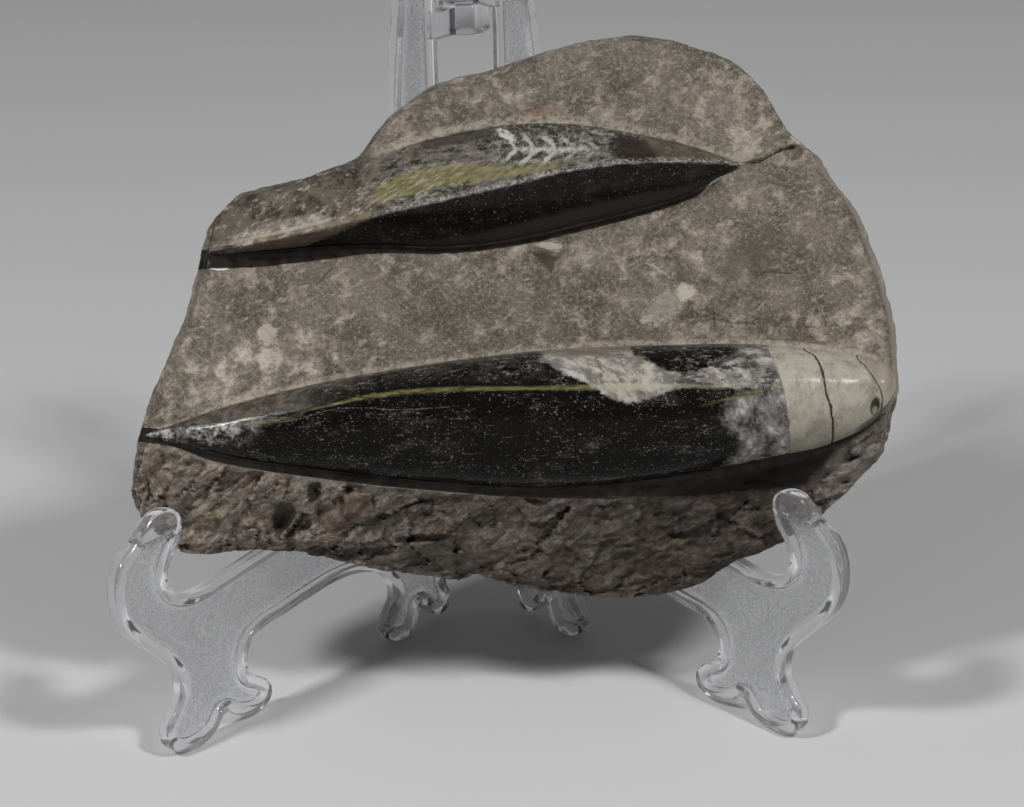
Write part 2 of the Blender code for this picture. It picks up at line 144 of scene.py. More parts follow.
LARGE_STATIONS = (
    (-85.6, -7.2, -7.4, -7.6, 0.3), (-68.0, -1.1, -5.6, -12.0, 5.4),
    (-44.0, 5.0, -2.2, -15.5, 9.8), (-20.0, 9.2, 3.4, -18.1, 13.0),
    (10.0, 12.7, 3.5, -19.6, 14.6), (35.0, 13.7, 3.5, -17.4, 14.2),
    (60.0, 13.7, 3.4, -12.7, 12.6), (75.0, 12.1, 3.4, -9.2, 10.6),
    (84.6, 10.2, 3.6, -4.0, 7.6), (88.8, 7.4, 4.2, 0.8, 4.0), (89.9, 4.4, 4.2, 4.0, 0.4),
)
SMALL_STATIONS = (
    (-70.9, 36.0, 35.4, 34.8, 1.0), (-60.0, 45.4, 37.0, 35.2, 6.2),
    (-46.0, 51.2, 39.8, 36.4, 9.4), (-32.0, 57.8, 43.2, 36.8, 11.6),
    (-16.0, 62.8, 46.6, 36.2, 12.6), (0.0, 65.4, 50.2, 37.9, 12.6),
    (16.0, 65.3, 53.9, 41.5, 11.4), (30.0, 63.0, 55.6, 45.0, 8.8),
    (43.0, 60.0, 56.0, 49.3, 5.2), (52.8, 56.3, 55.7, 55.1, 0.6),
)
LARGE_BED = 0.74                   # depth of the buried half, as a share of the half-width
SMALL_BED = 0.66
FOSSIL_AROUND = 112
FOSSIL_ALONG = 380

# Lines where the chambers meet, from the upper edge to the lower one
SEPTA = (
    ((59.4, 12.3), (62.8, 0.8), (64.5, -10.8)),
    ((68.0, 12.3), (71.2, 8.6), (72.3, 2.8), (73.6, -1.6), (74.6, -9.7)),
    ((80.3, 10.2), (83.7, 5.9), (85.7, 1.4), (85.5, -3.1)),
)
SEPTUM_CUTS = (0.06, 0.30, 0.22)   # how deep each line is worn in
PIT = (84.1, -0.6)
PIT_SIZE = (1.2, 2.1)
PIT_DEPTH = 1.1

# ---- the stand ----------------------------------------------------------------------------

WING_THICK = 4.6
WING_REACH = 131.5
WING_ROUND = 1.5
WEB_THICK = 2.2
RIM_WIDTH = 3.1
HOOK_FROM = 100.0                  # beyond this from the hinge a wing is its hook
HOOK_STEP = 56.8                   # above this the hook's tip is solid, and thinner
HOOK_THINNER = 0.9
OUTLINE_STEP = 0.6
# A wing's mesh has rings of points at these distances in from its outline
WING_RINGS = (
    0.08, 0.25, 0.5, 0.8, 1.15, 1.6, 2.15, 2.35, 2.55, 2.75, 2.95, 3.15, 3.35, 3.7, 4.2, 4.8, 6.0,
)
# and rows of points at these heights from the hook's step
STEP_ROWS = (-0.5, -0.25, -0.15, 0.15, 0.5)
# Distance from the hinge, and height
WING_OUTLINE = (
    (12.4, 27.0), (12.4, 90.0), (12.4, 150.0), (12.6, 170.0), (14.3, 175.3), (18.0, 177.0),
    (22.0, 175.2), (24.4, 170.0), (25.2, 163.0), (27.0, 151.0), (28.3, 138.0), (30.0, 100.0),
    (31.6, 80.0), (37.0, 64.0), (47.0, 53.6), (60.0, 46.6), (76.0, 43.0), (90.0, 41.2),
    (98.0, 40.2), (104.0, 39.6), (109.2, 40.4), (113.0, 42.9), (114.4, 46.4), (113.2, 50.2),
    (110.6, 53.4), (109.0, 57.3), (109.4, 61.0), (112.6, 63.4), (117.0, 63.9), (120.8, 62.0),
    (123.4, 59.4), (126.6, 57.2), (129.4, 54.6), (131.0, 51.0), (131.4, 47.2), (130.9, 42.8),
    (129.0, 38.3), (125.6, 33.8), (120.8, 29.2), (115.6, 24.0), (112.8, 19.2), (113.0, 15.2),
    (115.2, 11.8), (118.0, 8.4), (118.0, 4.4), (115.4, 1.4), (111.4, 0.0), (106.6, 0.0),
    (102.2, 1.8), (98.6, 5.0), (94.6, 2.6), (89.8, 1.1), (85.2, 1.5), (82.6, 4.0), (82.9, 7.2),
    (85.9, 9.8), (89.3, 11.9), (90.2, 15.6), (88.8, 19.8), (84.6, 22.0), (77.0, 22.9),
    (68.0, 24.0), (57.4, 24.8), (48.0, 23.6), (41.0, 20.5), (36.6, 16.0), (36.2, 12.0), (38.8, 8.6),
    (40.6, 5.2), (39.2, 1.9), (35.4, 0.0), (30.8, 0.0), (28.4, 3.2), (26.3, 6.8),
    (23.5, 4.0), (19.5, 1.6), (16.2, 2.8), (15.2, 6.5), (16.6, 10.5), (16.2, 15.0),
    (13.4, 20.0),
)
BARREL_RADIUS = 6.25
BARREL_HEIGHT = 7.4
BARREL_GAP = 0.3
BARREL_BOTTOMS = (34.0, 152.8)
PIN_RADIUS = 2.4
BORE_RADIUS = 2.8
PIN_LENGTH = 6.4
NECK_REACH = 14.0
NECK_THICK = 4.2
NECK_STEP = 0.4
MARK_PLACE = (102.0, 29.4)         # the round mark that the mould's ejector leaves
MARK_RADIUS = 3.5
MARK_RIDGE = 0.22


# ---- lines, noise and small sums ------------------------------------------------------------

def smooth_line(points, steps, closed=False):
    """Points on a smooth line through the given ones, steps of them for each stretch."""
    points = np.array(points, dtype=float)
    if closed:
        tangent = np.roll(points, -1, axis=0) - np.roll(points, 1, axis=0)
        ends = np.roll(points, -1, axis=0)
        last = []
    else:
        tangent = np.gradient(points, axis=0)
        ends = points[1:]
        last = [points[-1:]]
    tangent /= np.linalg.norm(tangent, axis=1)[:, None]
    t = (np.arange(steps) / steps)[:, None]
    ease_in = t * t * (3.0 - 2.0 * t)
    line = []
    for i, end in enumerate(ends):
        start = points[i]
        chord = np.linalg.norm(end - start)
        leave = t * (1.0 - t) ** 2 * chord * tangent[i]
        arrive = t * t * (t - 1.0) * chord * tangent[(i + 1) % len(points)]
        line.append(start + ease_in * (end - start) + leave + arrive)
    return np.concatenate(line + last)


def along(line, share):
    """Points at shares (0 to 1) of a line's length."""
    steps = np.linalg.norm(np.diff(line, axis=0), axis=1)
    run = np.concatenate(([0.0], np.cumsum(steps))) / steps.sum()
    return np.stack((np.interp(share, run, line[:, 0]), np.interp(share, run, line[:, 1])), axis=-1)


def stations_at(stations, place):
    """Upper edge, ridge, lower edge and height of a fossil, as rows, at places along it."""
    table = np.array(stations)
    places = table[:, 0]
    place = np.clip(place, places[0], places[-1])
    i = np.clip(np.searchsorted(places, place) - 1, 0, len(places) - 2)
    span = (places[i + 1] - places[i])[..., None]
    t = (place - places[i])[..., None] / span
    slopes = np.gradient(table[:, 1:], places, axis=0)
    ease_in = t * t * (3.0 - 2.0 * t)
    leave = t * (1.0 - t) ** 2 * span * slopes[i]
    arrive = t * t * (t - 1.0) * span * slopes[i + 1]
    rows = table[i, 1:] + ease_in * (table[i + 1, 1:] - table[i, 1:]) + leave + arrive
    return np.moveaxis(rows, -1, 0)


def step(x, low, high):
    t = np.clip((x - low) / (high - low), 0.0, 1.0)
    return t * t * (3.0 - 2.0 * t)


def wander(x, y, z):
    """Smooth noise, about -1 to 1."""
    x, y, z = np.broadcast_arrays(x, y, z)
    flat = np.stack((x.ravel(), y.ravel(), z.ravel()), axis=1)
    return np.array([noise.noise(Vector(place)) for place in flat.tolist()]).reshape(x.shape)


def layers(x, y, z, octaves):
    """Noise of several sizes, each half the size of the one before."""
    total = np.zeros(np.broadcast(x, y, z).shape)
    for octave in range(octaves):
        double = 2.0 ** octave
        total += wander(x * double, y * double, z + 5.3 * octave) / double ** 0.9
    return total


def scoops(x, y, seed):
    """Shallow bowls that meet in sharp crests, as where stone is chipped. One bowl to a unit."""
    table = np.random.default_rng(seed).random((64, 64, 3))
    column, row = np.floor(x).astype(int), np.floor(y).astype(int)
    lowest = np.full(x.shape, 9.0)
    for right in (-1, 0, 1):
        for up in (-1, 0, 1):
            chance = table[(column + right) % 64, (row + up) % 64]
            gap_x = column + right + 0.1 + 0.8 * chance[..., 0] - x
            gap_y = row + up + 0.1 + 0.8 * chance[..., 1] - y
            lowest = np.minimum(lowest, 0.5 * chance[..., 2] + gap_x ** 2 + gap_y ** 2)
    return lowest


def facets(x, y, seed, tilt):
    """Flat tilted faces with steps between them, as in broken stone. One face to a unit."""
    table = np.random.default_rng(seed).random((64, 64, 5))
    column, row = np.floor(x).astype(int), np.floor(y).astype(int)
    nearest, height = np.full(x.shape, 9.0), np.zeros(x.shape)
    for right in (-1, 0, 1):
        for up in (-1, 0, 1):
            chance = table[(column + right) % 64, (row + up) % 64]
            gap_x = x - column - right - 0.1 - 0.8 * chance[..., 0]
            gap_y = y - row - up - 0.1 - 0.8 * chance[..., 1]
            gap = gap_x ** 2 + gap_y ** 2
            slope = tilt * ((chance[..., 2] - 0.5) * gap_x + (chance[..., 3] - 0.5) * gap_y)
            height = np.where(gap < nearest, chance[..., 4] - 0.5 + slope, height)
            nearest = np.minimum(gap, nearest)
    return height


def lump(a, b, place, size, height):
    return height * np.exp(-((a - place[0]) / size[0]) ** 2 - ((b - place[1]) / size[1]) ** 2)


def near_line(a, b, line, width):
    """1 on a line through points, falling to 0 over a width either side."""
    gap = np.full(np.shape(a), 99.0)
    for start, end in zip(line[:-1], line[1:]):
        run = np.subtract(end, start)
        share = np.clip(((a - start[0]) * run[0] + (b - start[1]) * run[1]) / (run @ run), 0.0, 1.0)
        gap = np.minimum(gap, np.hypot(a - start[0] - run[0] * share, b - start[1] - run[1] * share))
    return np.exp(-(gap / width) ** 2)


def draw_in(points, amount):
    towards = np.array(SLAB_MIDDLE) - points
    length = np.linalg.norm(towards, axis=-1, keepdims=True)
    return points + towards / length * np.asarray(amount)[..., None]


# ---- meshes -------------------------------------------------------------------------------

def placed(points, origin, axes):
    """Points in millimetres, in their own coordinates, as metres in the row frame."""
    return (points @ np.array(axes).T + np.array(origin)) * MM


def mesh_piece(name, points, faces, material):
    mesh = bpy.data.meshes.new(name)
    mesh.from_pydata(points.tolist(), [], faces)
    mesh.validate()
    bm = bmesh.new()
    bm.from_mesh(mesh)
    bmesh.ops.recalc_face_normals(bm, faces=bm.faces)
    bm.to_mesh(mesh)
    bm.free()
    piece = bpy.data.objects.new(name, mesh)
    bpy.context.scene.collection.objects.link(piece)
    mesh.materials.append(material)
    mesh.shade_smooth()
    return piece


def mark_wear_and_shade(piece, passes):
    """Stores how far each point stands out of (+) or lies within (-) its surroundings, in mm."""
    mesh = piece.data
    count = len(mesh.vertices)
    points = np.empty(count * 3)
    mesh.vertices.foreach_get("co", points)
    points = points.reshape(-1, 3) / MM
    normals = np.empty(count * 3)
    mesh.vertices.foreach_get("normal", normals)
    ends = np.empty(len(mesh.edges) * 2, dtype=int)
    mesh.edges.foreach_get("vertices", ends)
    ends = ends.reshape(-1, 2)
    both = np.concatenate((ends, ends[:, ::-1]))
    shares = np.maximum(np.bincount(both[:, 0], minlength=count), 1)
    level = points.copy()
    for _ in range(passes):
        for axis in range(3):
            total = np.bincount(both[:, 0], weights=level[both[:, 1], axis], minlength=count)
            level[:, axis] = 0.5 * level[:, axis] + 0.5 * total / shares
    proud = ((points - level) * normals.reshape(-1, 3)).sum(axis=1)
    field = mesh.attributes.new("proud", "FLOAT", "POINT")
    field.data.foreach_set("value", proud.astype(np.float32))
    return piece


def declare(piece, node):
    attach(piece, "root")
    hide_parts(node)


def grid_faces(index):
    """Quads over a grid of vertex numbers."""
    corners = (index[:-1, :-1], index[1:, :-1], index[1:, 1:], index[:-1, 1:])
    return np.stack([corner.ravel() for corner in corners], axis=1).tolist()


# ---- the rock -------------------------------------------------------------------------------

def bed_depth(a, b, stations, bed):
    """How far inside a fossil's outline a place is, and how deep its buried half is there."""
    upper, _, lower, _ = stations_at(stations, a)
    inside = np.minimum(upper - b, b - lower)
    beyond = np.maximum(stations[0][0] - a, a - stations[-1][0])
    inside = np.where(beyond > 0.0, -beyond, inside)
    half = 0.5 * (upper - lower)
    across = np.clip((b - 0.5 * (upper + lower)) / np.maximum(half, 0.1), -1.0, 1.0)
    return inside, half * bed * np.sqrt(1.0 - across ** 2)


def cove(a, b, stations, upper_reach, lower_reach):
    """The polished hollow that rises from the face onto a fossil's flank."""
    upper, _, lower, top = stations_at(stations, a)
    fade = step(a, stations[0][0] - 1.0, stations[0][0] + 12.0)
    fade = fade * step(-a, -stations[-1][0] - 1.0, -stations[-1][0] + 9.0)
    rise = 0.0
    for gap, reach in ((b - upper, upper_reach), (lower - b, lower_reach)):
        share = np.clip(1.0 - gap / reach, 0.0, 1.0)
        curve = reach * (1.0 - np.sqrt(1.0 - np.minimum(share, 1.0) ** 2))
        rise = rise + curve * np.clip(1.0 + gap / 1.2, 0.0, 1.0)
    return rise * fade * np.minimum(1.0, top / 5.0)


def ledges(across, period, drop):
    """Steps that fall away sharply and come back slowly, about zero on the whole."""
    part = across / period - np.floor(across / period)
    return drop * (step(part, 0.0, 0.24) - part - 0.38)


def rock_height(a, b):
    """How far the slab's front stands out of, or behind, its flat face."""
    below = stations_at(LARGE_STATIONS, a)[2] - GROOVE - b
    broken = np.clip(below / 4.0, 0.0, 1.0)
    height = -np.minimum(np.maximum(below, 0.0) * BREAK_SLOPE, BREAK_DEPTH)
    coarse = wander(a / 11.0, b / 7.0, 3.7)
    fine = wander(a / 5.0, b / 3.6, 8.1)
    height = height + broken * 2.2 * (coarse + 0.5 * fine) + (1.0 - broken) * 0.35 * coarse
    for place, size, rise in LUMPS:
        height = height + lump(a, b, place, size, rise)
    raised = lump(a, b, *RAISED_RIM)
    height = height + raised + 0.16 * raised * layers(a / 5.0, b / 3.5, 3.1, 4)

    # the broken face: chips, and ledges that run from lower left to upper right
    slant = np.radians(np.interp(a, (-90.0, -20.0, 60.0), (42.0, 30.0, 14.0)))
    bend = 0.9 * wander(a / 14.0, b / 12.0, 1.9)
    lengthwise = a * np.cos(slant) + b * np.sin(slant)
    across = b * np.cos(slant) - a * np.sin(slant)
    ragged = layers(a / 7.0, b / 5.0, 6.6, 4)
    torn = 0.18 * layers(a / 3.0, b / 2.4, 2.7, 3)
    chips = 1.5 * (scoops(lengthwise / 13.0 + bend, across / 7.0 + bend, 11) - 0.45)
    chips = chips + 2.9 * facets(lengthwise / 9.5 + bend + torn, across / 5.0 + bend + torn, 71, 1.7)
    chips = chips + 0.6 * facets(lengthwise / 4.4 - bend + torn, across / 2.3 + bend - torn, 23, 1.7)
    chips = chips + 0.24 * facets(lengthwise / 1.9 + torn, across / 1.3 - bend - torn, 57, 1.7)
    chips = chips + ledges(-across + 3.2 * ragged, 6.2, 1.2)
    chips = chips + 0.22 * layers(lengthwise / 1.8, across / 1.3, 4.4, 3)
    smooth = np.interp(a, SMOOTH_BELOW[0], SMOOTH_BELOW[1])
    height = height - step(below, smooth - 0.2, smooth + 2.2) * chips

    # the flat face is slightly pitted, with shallow flakes
    whole = 1.0 - step(below, -0.5, 0.5)
    height = height - whole * 0.30 * scoops(a / 8.0 + bend, b / 4.6, 31)
    height = height + whole * 0.13 * layers(a / 2.6, b / 2.2, 9.7, 3)
    for line, width, deep in CRACKS:
        height = height - deep * near_line(a, b, line, width)
    return height


def rock_front(a, b):
    height = rock_height(a, b)
    height = height + cove(a, b, LARGE_STATIONS, 0.9, 2.0) + cove(a, b, SMALL_STATIONS, 0.7, 1.9)
    upper, ridge, _, top = stations_at(SMALL_STATIONS, a)
    flush = (1.0 - step(a, *FLUSH)) * step(a, -76.0, -74.0)
    up_flank = np.clip((b - ridge) / (1.3 * (upper - ridge) + 0.1), 0.0, 1.0)
    calm = 1.0 - 0.7 * np.exp(-((b - ridge - 3.0) / 1.8) ** 2)
    skin = top * (1.0 - 0.55 * up_flank ** 1.4) - 0.35 + 0.35 * calm * layers(a / 5.0, b / 3.5, 3.1, 4)
    skin = skin + 0.15 * np.exp(-((b - ridge - 3.3) / 1.1) ** 2)
    above = step(b - ridge, 0.0, 0.8)
    height = height + flush * above * (skin - height)
    for stations, bed in ((LARGE_STATIONS, LARGE_BED), (SMALL_STATIONS, SMALL_BED)):
        inside, deep = bed_depth(a, b, stations, bed)
        if stations is SMALL_STATIONS:
            inside = inside - flush * step(b - ridge, 0.3, 0.9) * 20.0
        pocket = -np.minimum(deep + 0.4, 15.0)
        share = step(inside - 0.8, 0.0, 1.1) * step(deep, 0.5, 2.0)
        height = height + share * (pocket - height)
    return height


def over_slab(p, q):
    """Places on the slab at shares of the way across (p) and up (q), spread between its four edges."""
    bottom, right, top, left = (
        smooth_line(edge, 12) for edge in (BOTTOM_EDGE, RIGHT_EDGE, TOP_EDGE, LEFT_EDGE)
    )
    p, q = p[..., None], q[..., None]
    low = (1.0 - p) * left[0] + p * right[0]
    high = (1.0 - p) * left[-1] + p * right[-1]
    across = (1.0 - q) * along(bottom, p[..., 0]) + q * along(top, p[..., 0])
    upward = (1.0 - p) * along(left, q[..., 0]) + p * along(right, q[..., 0])
    return across + upward - (1.0 - q) * low - q * high


def crowded_rows():
    """Shares p and q of the front's grid, whose rows crowd together where a fossil meets the rock."""
    even = np.linspace(0.0, 1.0, TRIAL_ROWS + 1)
    p, q = np.meshgrid(np.linspace(0.0, 1.0, COLUMNS + 1), even, indexing="ij")
    place = over_slab(p, q)
    a, b = place[..., 0], place[..., 1]
    weight = np.ones_like(a)
    for stations in (LARGE_STATIONS, SMALL_STATIONS):
        upper, _, lower, _ = stations_at(stations, a)
        for edge in (upper, lower):
            weight += 2.2 * np.exp(-((b - edge) / 1.6) ** 2)
    weight += 0.7 * step(stations_at(LARGE_STATIONS, a)[2] - b, 0.0, 3.0)
    run = np.cumsum(weight, axis=1)
    run = (run - run[:, :1]) / (run[:, -1:] - run[:, :1])
    rows = np.linspace(0.0, 1.0, ROWS + 1)
    q = np.array([np.interp(rows, one_run, one_q) for one_run, one_q in zip(run, q)])
    return np.repeat(p[:, :1], ROWS + 1, axis=1), q


def slab_front():
    """The slab's front as a grid of points, with its edge worn."""
    p, q = crowded_rows()
    place = over_slab(p, q)
    tall = np.linalg.norm(place[:, -1] - place[:, 0], axis=1)[:, None]
    from_edge = np.minimum(np.minimum(p, 1.0 - p) * SLAB_WIDTH, np.minimum(q, 1.0 - q) * tall)
    worn = np.clip(1.0 - from_edge / EDGE_REACH, 0.0, 1.0)
    ragged = 0.35 * np.abs(layers(place[..., 0] / 6.0, place[..., 1] / 6.0, 2.2, 3))
    height = rock_front(place[..., 0], place[..., 1])
    fallen = 1.0 + np.clip(height, -BREAK_DEPTH, 0.0) / BREAK_DEPTH
    edge_height = height - EDGE_DROP * worn ** 1.6 * fallen
    place = draw_in(place, (EDGE_ROUND + ragged) * worn ** 1.3)
    return np.dstack((place, edge_height))


def slab_side(rim):
    """Rings of points from the front's rim to the back: rough, more so below, with one flake off."""
    a, b, front = rim.T
    lower = step(-b, -12.0, 20.0)
    rings = []
    for share in SIDE_RINGS:
        deep = front + (SLAB_BACK - front) * share
        rough = layers(a / 7.0, b / 7.0, deep / 7.0, 4) * 0.6 + 0.25
        rough = rough + lower * 1.1 * np.abs(layers(a / 4.0, b / 4.0, deep / 3.0, 3))
        rough = np.clip(rough, -0.2, 3.0) * step(share, 0.0, 0.12) * step(1.0 - share, -0.25, 0.2)
        inset = np.interp(share, *zip(*SIDE_INSET)) - EDGE_ROUND
        ring = draw_in(rim[:, :2], inset + rough + lump(a, b, *FLAKE) * share)
        rings.append(np.column_stack((ring, deep)))
    return rings


def slab_back(rim):
    """Rings of points from the back's rim towards its middle, slightly hollow."""
    rings = []
    for share in BACK_RINGS:
        ring = rim + (np.array(SLAB_MIDDLE) - rim) * share
        hollow = BACK_HOLLOW + 1.1 * layers(ring[:, 0] / 38.0, ring[:, 1] / 30.0, 8.8, 2)
        hollow = np.clip(hollow, 0.0, 2.4) * step(share, 0.0, 0.6)
        rings.append(np.column_stack((ring, SLAB_BACK + hollow)))
    return rings


def rock_piece(material):
    front = slab_front()
    index = np.arange(front.shape[0] * front.shape[1]).reshape(front.shape[:2])
    points = [front.reshape(-1, 3)]
    faces = grid_faces(index)
    before = np.concatenate((index[:-1, 0], index[-1, :-1], index[:0:-1, -1], index[0, :0:-1]))
    side = slab_side(points[0][before])
    count = index.size
    for ring in side + slab_back(side[-1][:, :2]):
        now = np.arange(count, count + len(ring))
        faces += grid_faces(np.stack((np.append(before, before[0]), np.append(now, now[0]))))
        points.append(ring)
        before = now
        count += len(ring)
    points.append(np.array([(*SLAB_MIDDLE, SLAB_BACK + BACK_HOLLOW)]))
    faces += [(int(one), int(two), count) for one, two in zip(before, np.roll(before, -1))]
    return mesh_piece("rock_slab", placed(np.concatenate(points), SLAB_ORIGIN, SLAB_AXES), faces, material)


# ---- the fossils ------------------------------------------------------------------------------

def spindle_piece(name, stations, bed, roof, detail, material):
    """A long body through the stations. roof says how far it is pitched like a roof at each place."""
    first, last = stations[0][0], stations[-1][0]
    turn = np.linspace(0.0, 2.0 * math.pi, FOSSIL_AROUND, endpoint=False)
    share = np.linspace(0.0, 1.0, FOSSIL_ALONG + 1)[1:-1]
    share = 0.55 * share + 0.45 * 0.5 * (1.0 - np.cos(math.pi * share))
    place = (first + (last - first) * share)[:, None]
    upper, ridge, lower, top = (row[:, None] for row in stations_at(stations, place[:, 0]))
    side, lift = np.cos(turn)[None, :], np.sin(turn)[None, :]
    lean = np.abs(side)
    pitched = (1.0 - lean) * (1.0 + 0.35 * lean)
    pitched = pitched - 0.035 * np.exp(-(lean / 0.07) ** 2)
    pitch = roof(place)
    out = top * (pitch * pitched + (1.0 - pitch) * np.abs(lift))
    edge = np.where(side > 0.0, upper, lower)
    half = 0.5 * (upper - lower)
    b = np.where(lift >= 0.0, ridge + (edge - ridge) * lean, lower + half * (1.0 + side))
    a = np.broadcast_to(place, b.shape)
    n = np.where(lift >= 0.0, out, half * bed * lift)
    n = n + np.where(lift > 0.0, detail(a, b) * np.minimum(1.0, lift * 3.0) * np.minimum(1.0, top / 3.0), 0.0)
    body = np.dstack((a, b, n)).reshape(-1, 3)
    ends = np.array([(first, stations[0][2], 0.0), (last, stations[-1][2], 0.0)])
    index = np.arange(len(body)).reshape(b.shape)
    closed = np.concatenate((index, index[:, :1]), axis=1)
    faces = grid_faces(closed)
    for tip, row in ((len(body), closed[0]), (len(body) + 1, closed[-1])):
        faces += [(int(one), int(two), tip) for one, two in zip(row[:-1], row[1:])]
    points = placed(np.concatenate((body, ends)), SLAB_ORIGIN, SLAB_AXES)
    return mesh_piece(name, points, faces, material)


def pitched_tip(place):
    """How far the large fossil is pitched like a roof: only near its tip."""
    return 0.35 * (1.0 - step(place, -74.0, -58.0))


def large_detail(a, b):
    """The worn lines between the chambers, a small pit, and the faint unevenness of the polish."""
    height = 0.07 * wander(a / 9.0, b / 5.0, 6.1)
    for line, cut in zip(SEPTA, SEPTUM_CUTS):
        table = np.array(line)[::-1]
        gap = a - np.interp(b, table[:, 1], table[:, 0])
        height = height - cut * np.exp(-(gap / 0.42) ** 2)
    away = ((a - PIT[0]) / PIT_SIZE[0]) ** 2 + ((b - PIT[1]) / PIT_SIZE[1]) ** 2
    return height - PIT_DEPTH * np.exp(-away ** 2)


def small_detail(a, b):
    rocky = 1.0 - step(a, -60.0, -34.0)
    return 0.08 * wander(a / 8.0, b / 5.0, 2.4) + rocky * 0.28 * layers(a / 6.0, b / 4.0, 7.9, 3)


# ---- the stand --------------------------------------------------------------------------------

def gap_to_outline(points, loop):
    """Each point's distance from the closed loop."""
    start = loop
    run = np.roll(loop, -1, axis=0) - start
    square = (run * run).sum(axis=1)
    nearest = np.empty(len(points))
    for i in range(0, len(points), 2000):
        part = points[i:i + 2000, None, :]
        share = np.clip(((part - start) * run).sum(axis=2) / square, 0.0, 1.0)
        nearest[i:i + 2000] = np.linalg.norm(start + run * share[..., None] - part, axis=2).min(axis=1)
    return nearest


def web_share(gap, u, z, start, end):
    """0 on the rim and on the hook's solid tip, rising to 1 on the thin web from start to end."""
    recessed = step(gap, RIM_WIDTH + start, RIM_WIDTH + end)
    return recessed * np.where(u > HOOK_FROM, 1.0 - step(z, HOOK_STEP - 0.5, HOOK_STEP), 1.0)


def wing_height(gap, u, z, outer):
    """Half the moulding's thickness at a distance from its outline."""
    full = 0.5 * WING_THICK
    if outer:
        full = full - HOOK_THINNER * step(z, HOOK_STEP - 0.15, HOOK_STEP + 0.15) * (u > HOOK_FROM)
    bend = np.clip(1.0 - gap / WING_ROUND, 0.0, 1.0)
    height = np.maximum(full - WING_ROUND * (1.0 - np.sqrt(1.0 - bend ** 2)), 0.0)
    return height + web_share(gap, u, z, -0.9, 0.2) * (0.5 * WEB_THICK - height)


def wing_axes(side):
    """Away from the hinge, up, and across the wing. Side is -1 for the left wing and 1 for the right."""
    turn = math.radians(WING_ANGLE)
    out = Vector((side * math.sin(turn), -math.cos(turn), 0.0))
    up = Vector((0.0, 0.0, 1.0))
    return Matrix((out, up, out.cross(up))).transposed()


def wing_plan():
    """A wing's flat points, its triangles, which points are on the outline, and how far in each is."""
    loop = smooth_line(WING_OUTLINE, 8, closed=True)
    loop[:, 1] = np.maximum(loop[:, 1], 0.0)
    loop[:, 0] = np.minimum(loop[:, 0], WING_REACH)
    run = np.append(loop, loop[:1], axis=0)
    length = np.linalg.norm(np.diff(run, axis=0), axis=1).sum()
    loop = along(run, np.linspace(0.0, 1.0, int(length / OUTLINE_STEP), endpoint=False))
    edge = np.roll(loop, -1, axis=0) - np.roll(loop, 1, axis=0)
    edge /= np.linalg.norm(edge, axis=1)[:, None]
    inward = np.stack((edge[:, 1], -edge[:, 0]), axis=1)
    inner = []
    for distance in WING_RINGS:
        ring = loop + inward * distance
        inner.append(ring[gap_to_outline(ring, loop) > distance * 0.985])
    for level in STEP_ROWS:
        inner.append(np.column_stack((np.arange(104.0, 130.0, 0.7), np.full(38, HOOK_STEP + level))))
    angle = np.linspace(0.0, 2.0 * math.pi, 40, endpoint=False)
    for radius in (MARK_RADIUS - 0.35, MARK_RADIUS, MARK_RADIUS + 0.35):
        ring = np.column_stack((np.cos(angle), np.sin(angle))) * radius
        inner.append(ring + np.array(MARK_PLACE))

    plan = [Vector(point) for point in np.concatenate((loop, *inner)).tolist()]
    ring = list(range(len(loop)))
    plan, _, triangles, origins, _, _ = delaunay_2d_cdt(plan, [], [ring], 1, 1e-4)
    plan = np.array([tuple(point) for point in plan])
    on_loop = np.array([any(one < len(loop) for one in origin) for origin in origins])
    return plan, triangles, on_loop, np.where(on_loop, 0.0, gap_to_outline(plan, loop))


def wing_shell(name, side, material):
    """A wing without its hinge: two sheets that meet at the outline."""
    plan, triangles, on_loop, gap = wing_plan()
    sheets = []
    for face in (1.0, -1.0):
        outer = face * side < 0.0
        height = wing_height(gap, plan[:, 0], plan[:, 1], outer)
        if not outer:
            from_mark = np.linalg.norm(plan - np.array(MARK_PLACE), axis=1)
            height = height + MARK_RIDGE * np.exp(-((from_mark - MARK_RADIUS) / 0.25) ** 2)
        height = np.where(on_loop, 0.0, height)
        sheets.append(np.column_stack((plan, face * height)))
    behind = np.where(on_loop, np.arange(len(plan)), len(plan) + np.cumsum(~on_loop) - 1)
    points = np.concatenate((sheets[0], sheets[1][~on_loop]))
    faces = [tuple(triangle) for triangle in triangles]
    faces += [tuple(int(behind[i]) for i in reversed(triangle)) for triangle in triangles]
    piece = mesh_piece(name, placed(points, HINGE, wing_axes(side)), faces, material)
    web = web_share(gap, plan[:, 0], plan[:, 1], 0.4, 1.6)
    field = piece.data.attributes.new("web", "FLOAT", "POINT")
    field.data.foreach_set("value", np.concatenate((web, web[~on_loop])).astype(np.float32))
    return piece


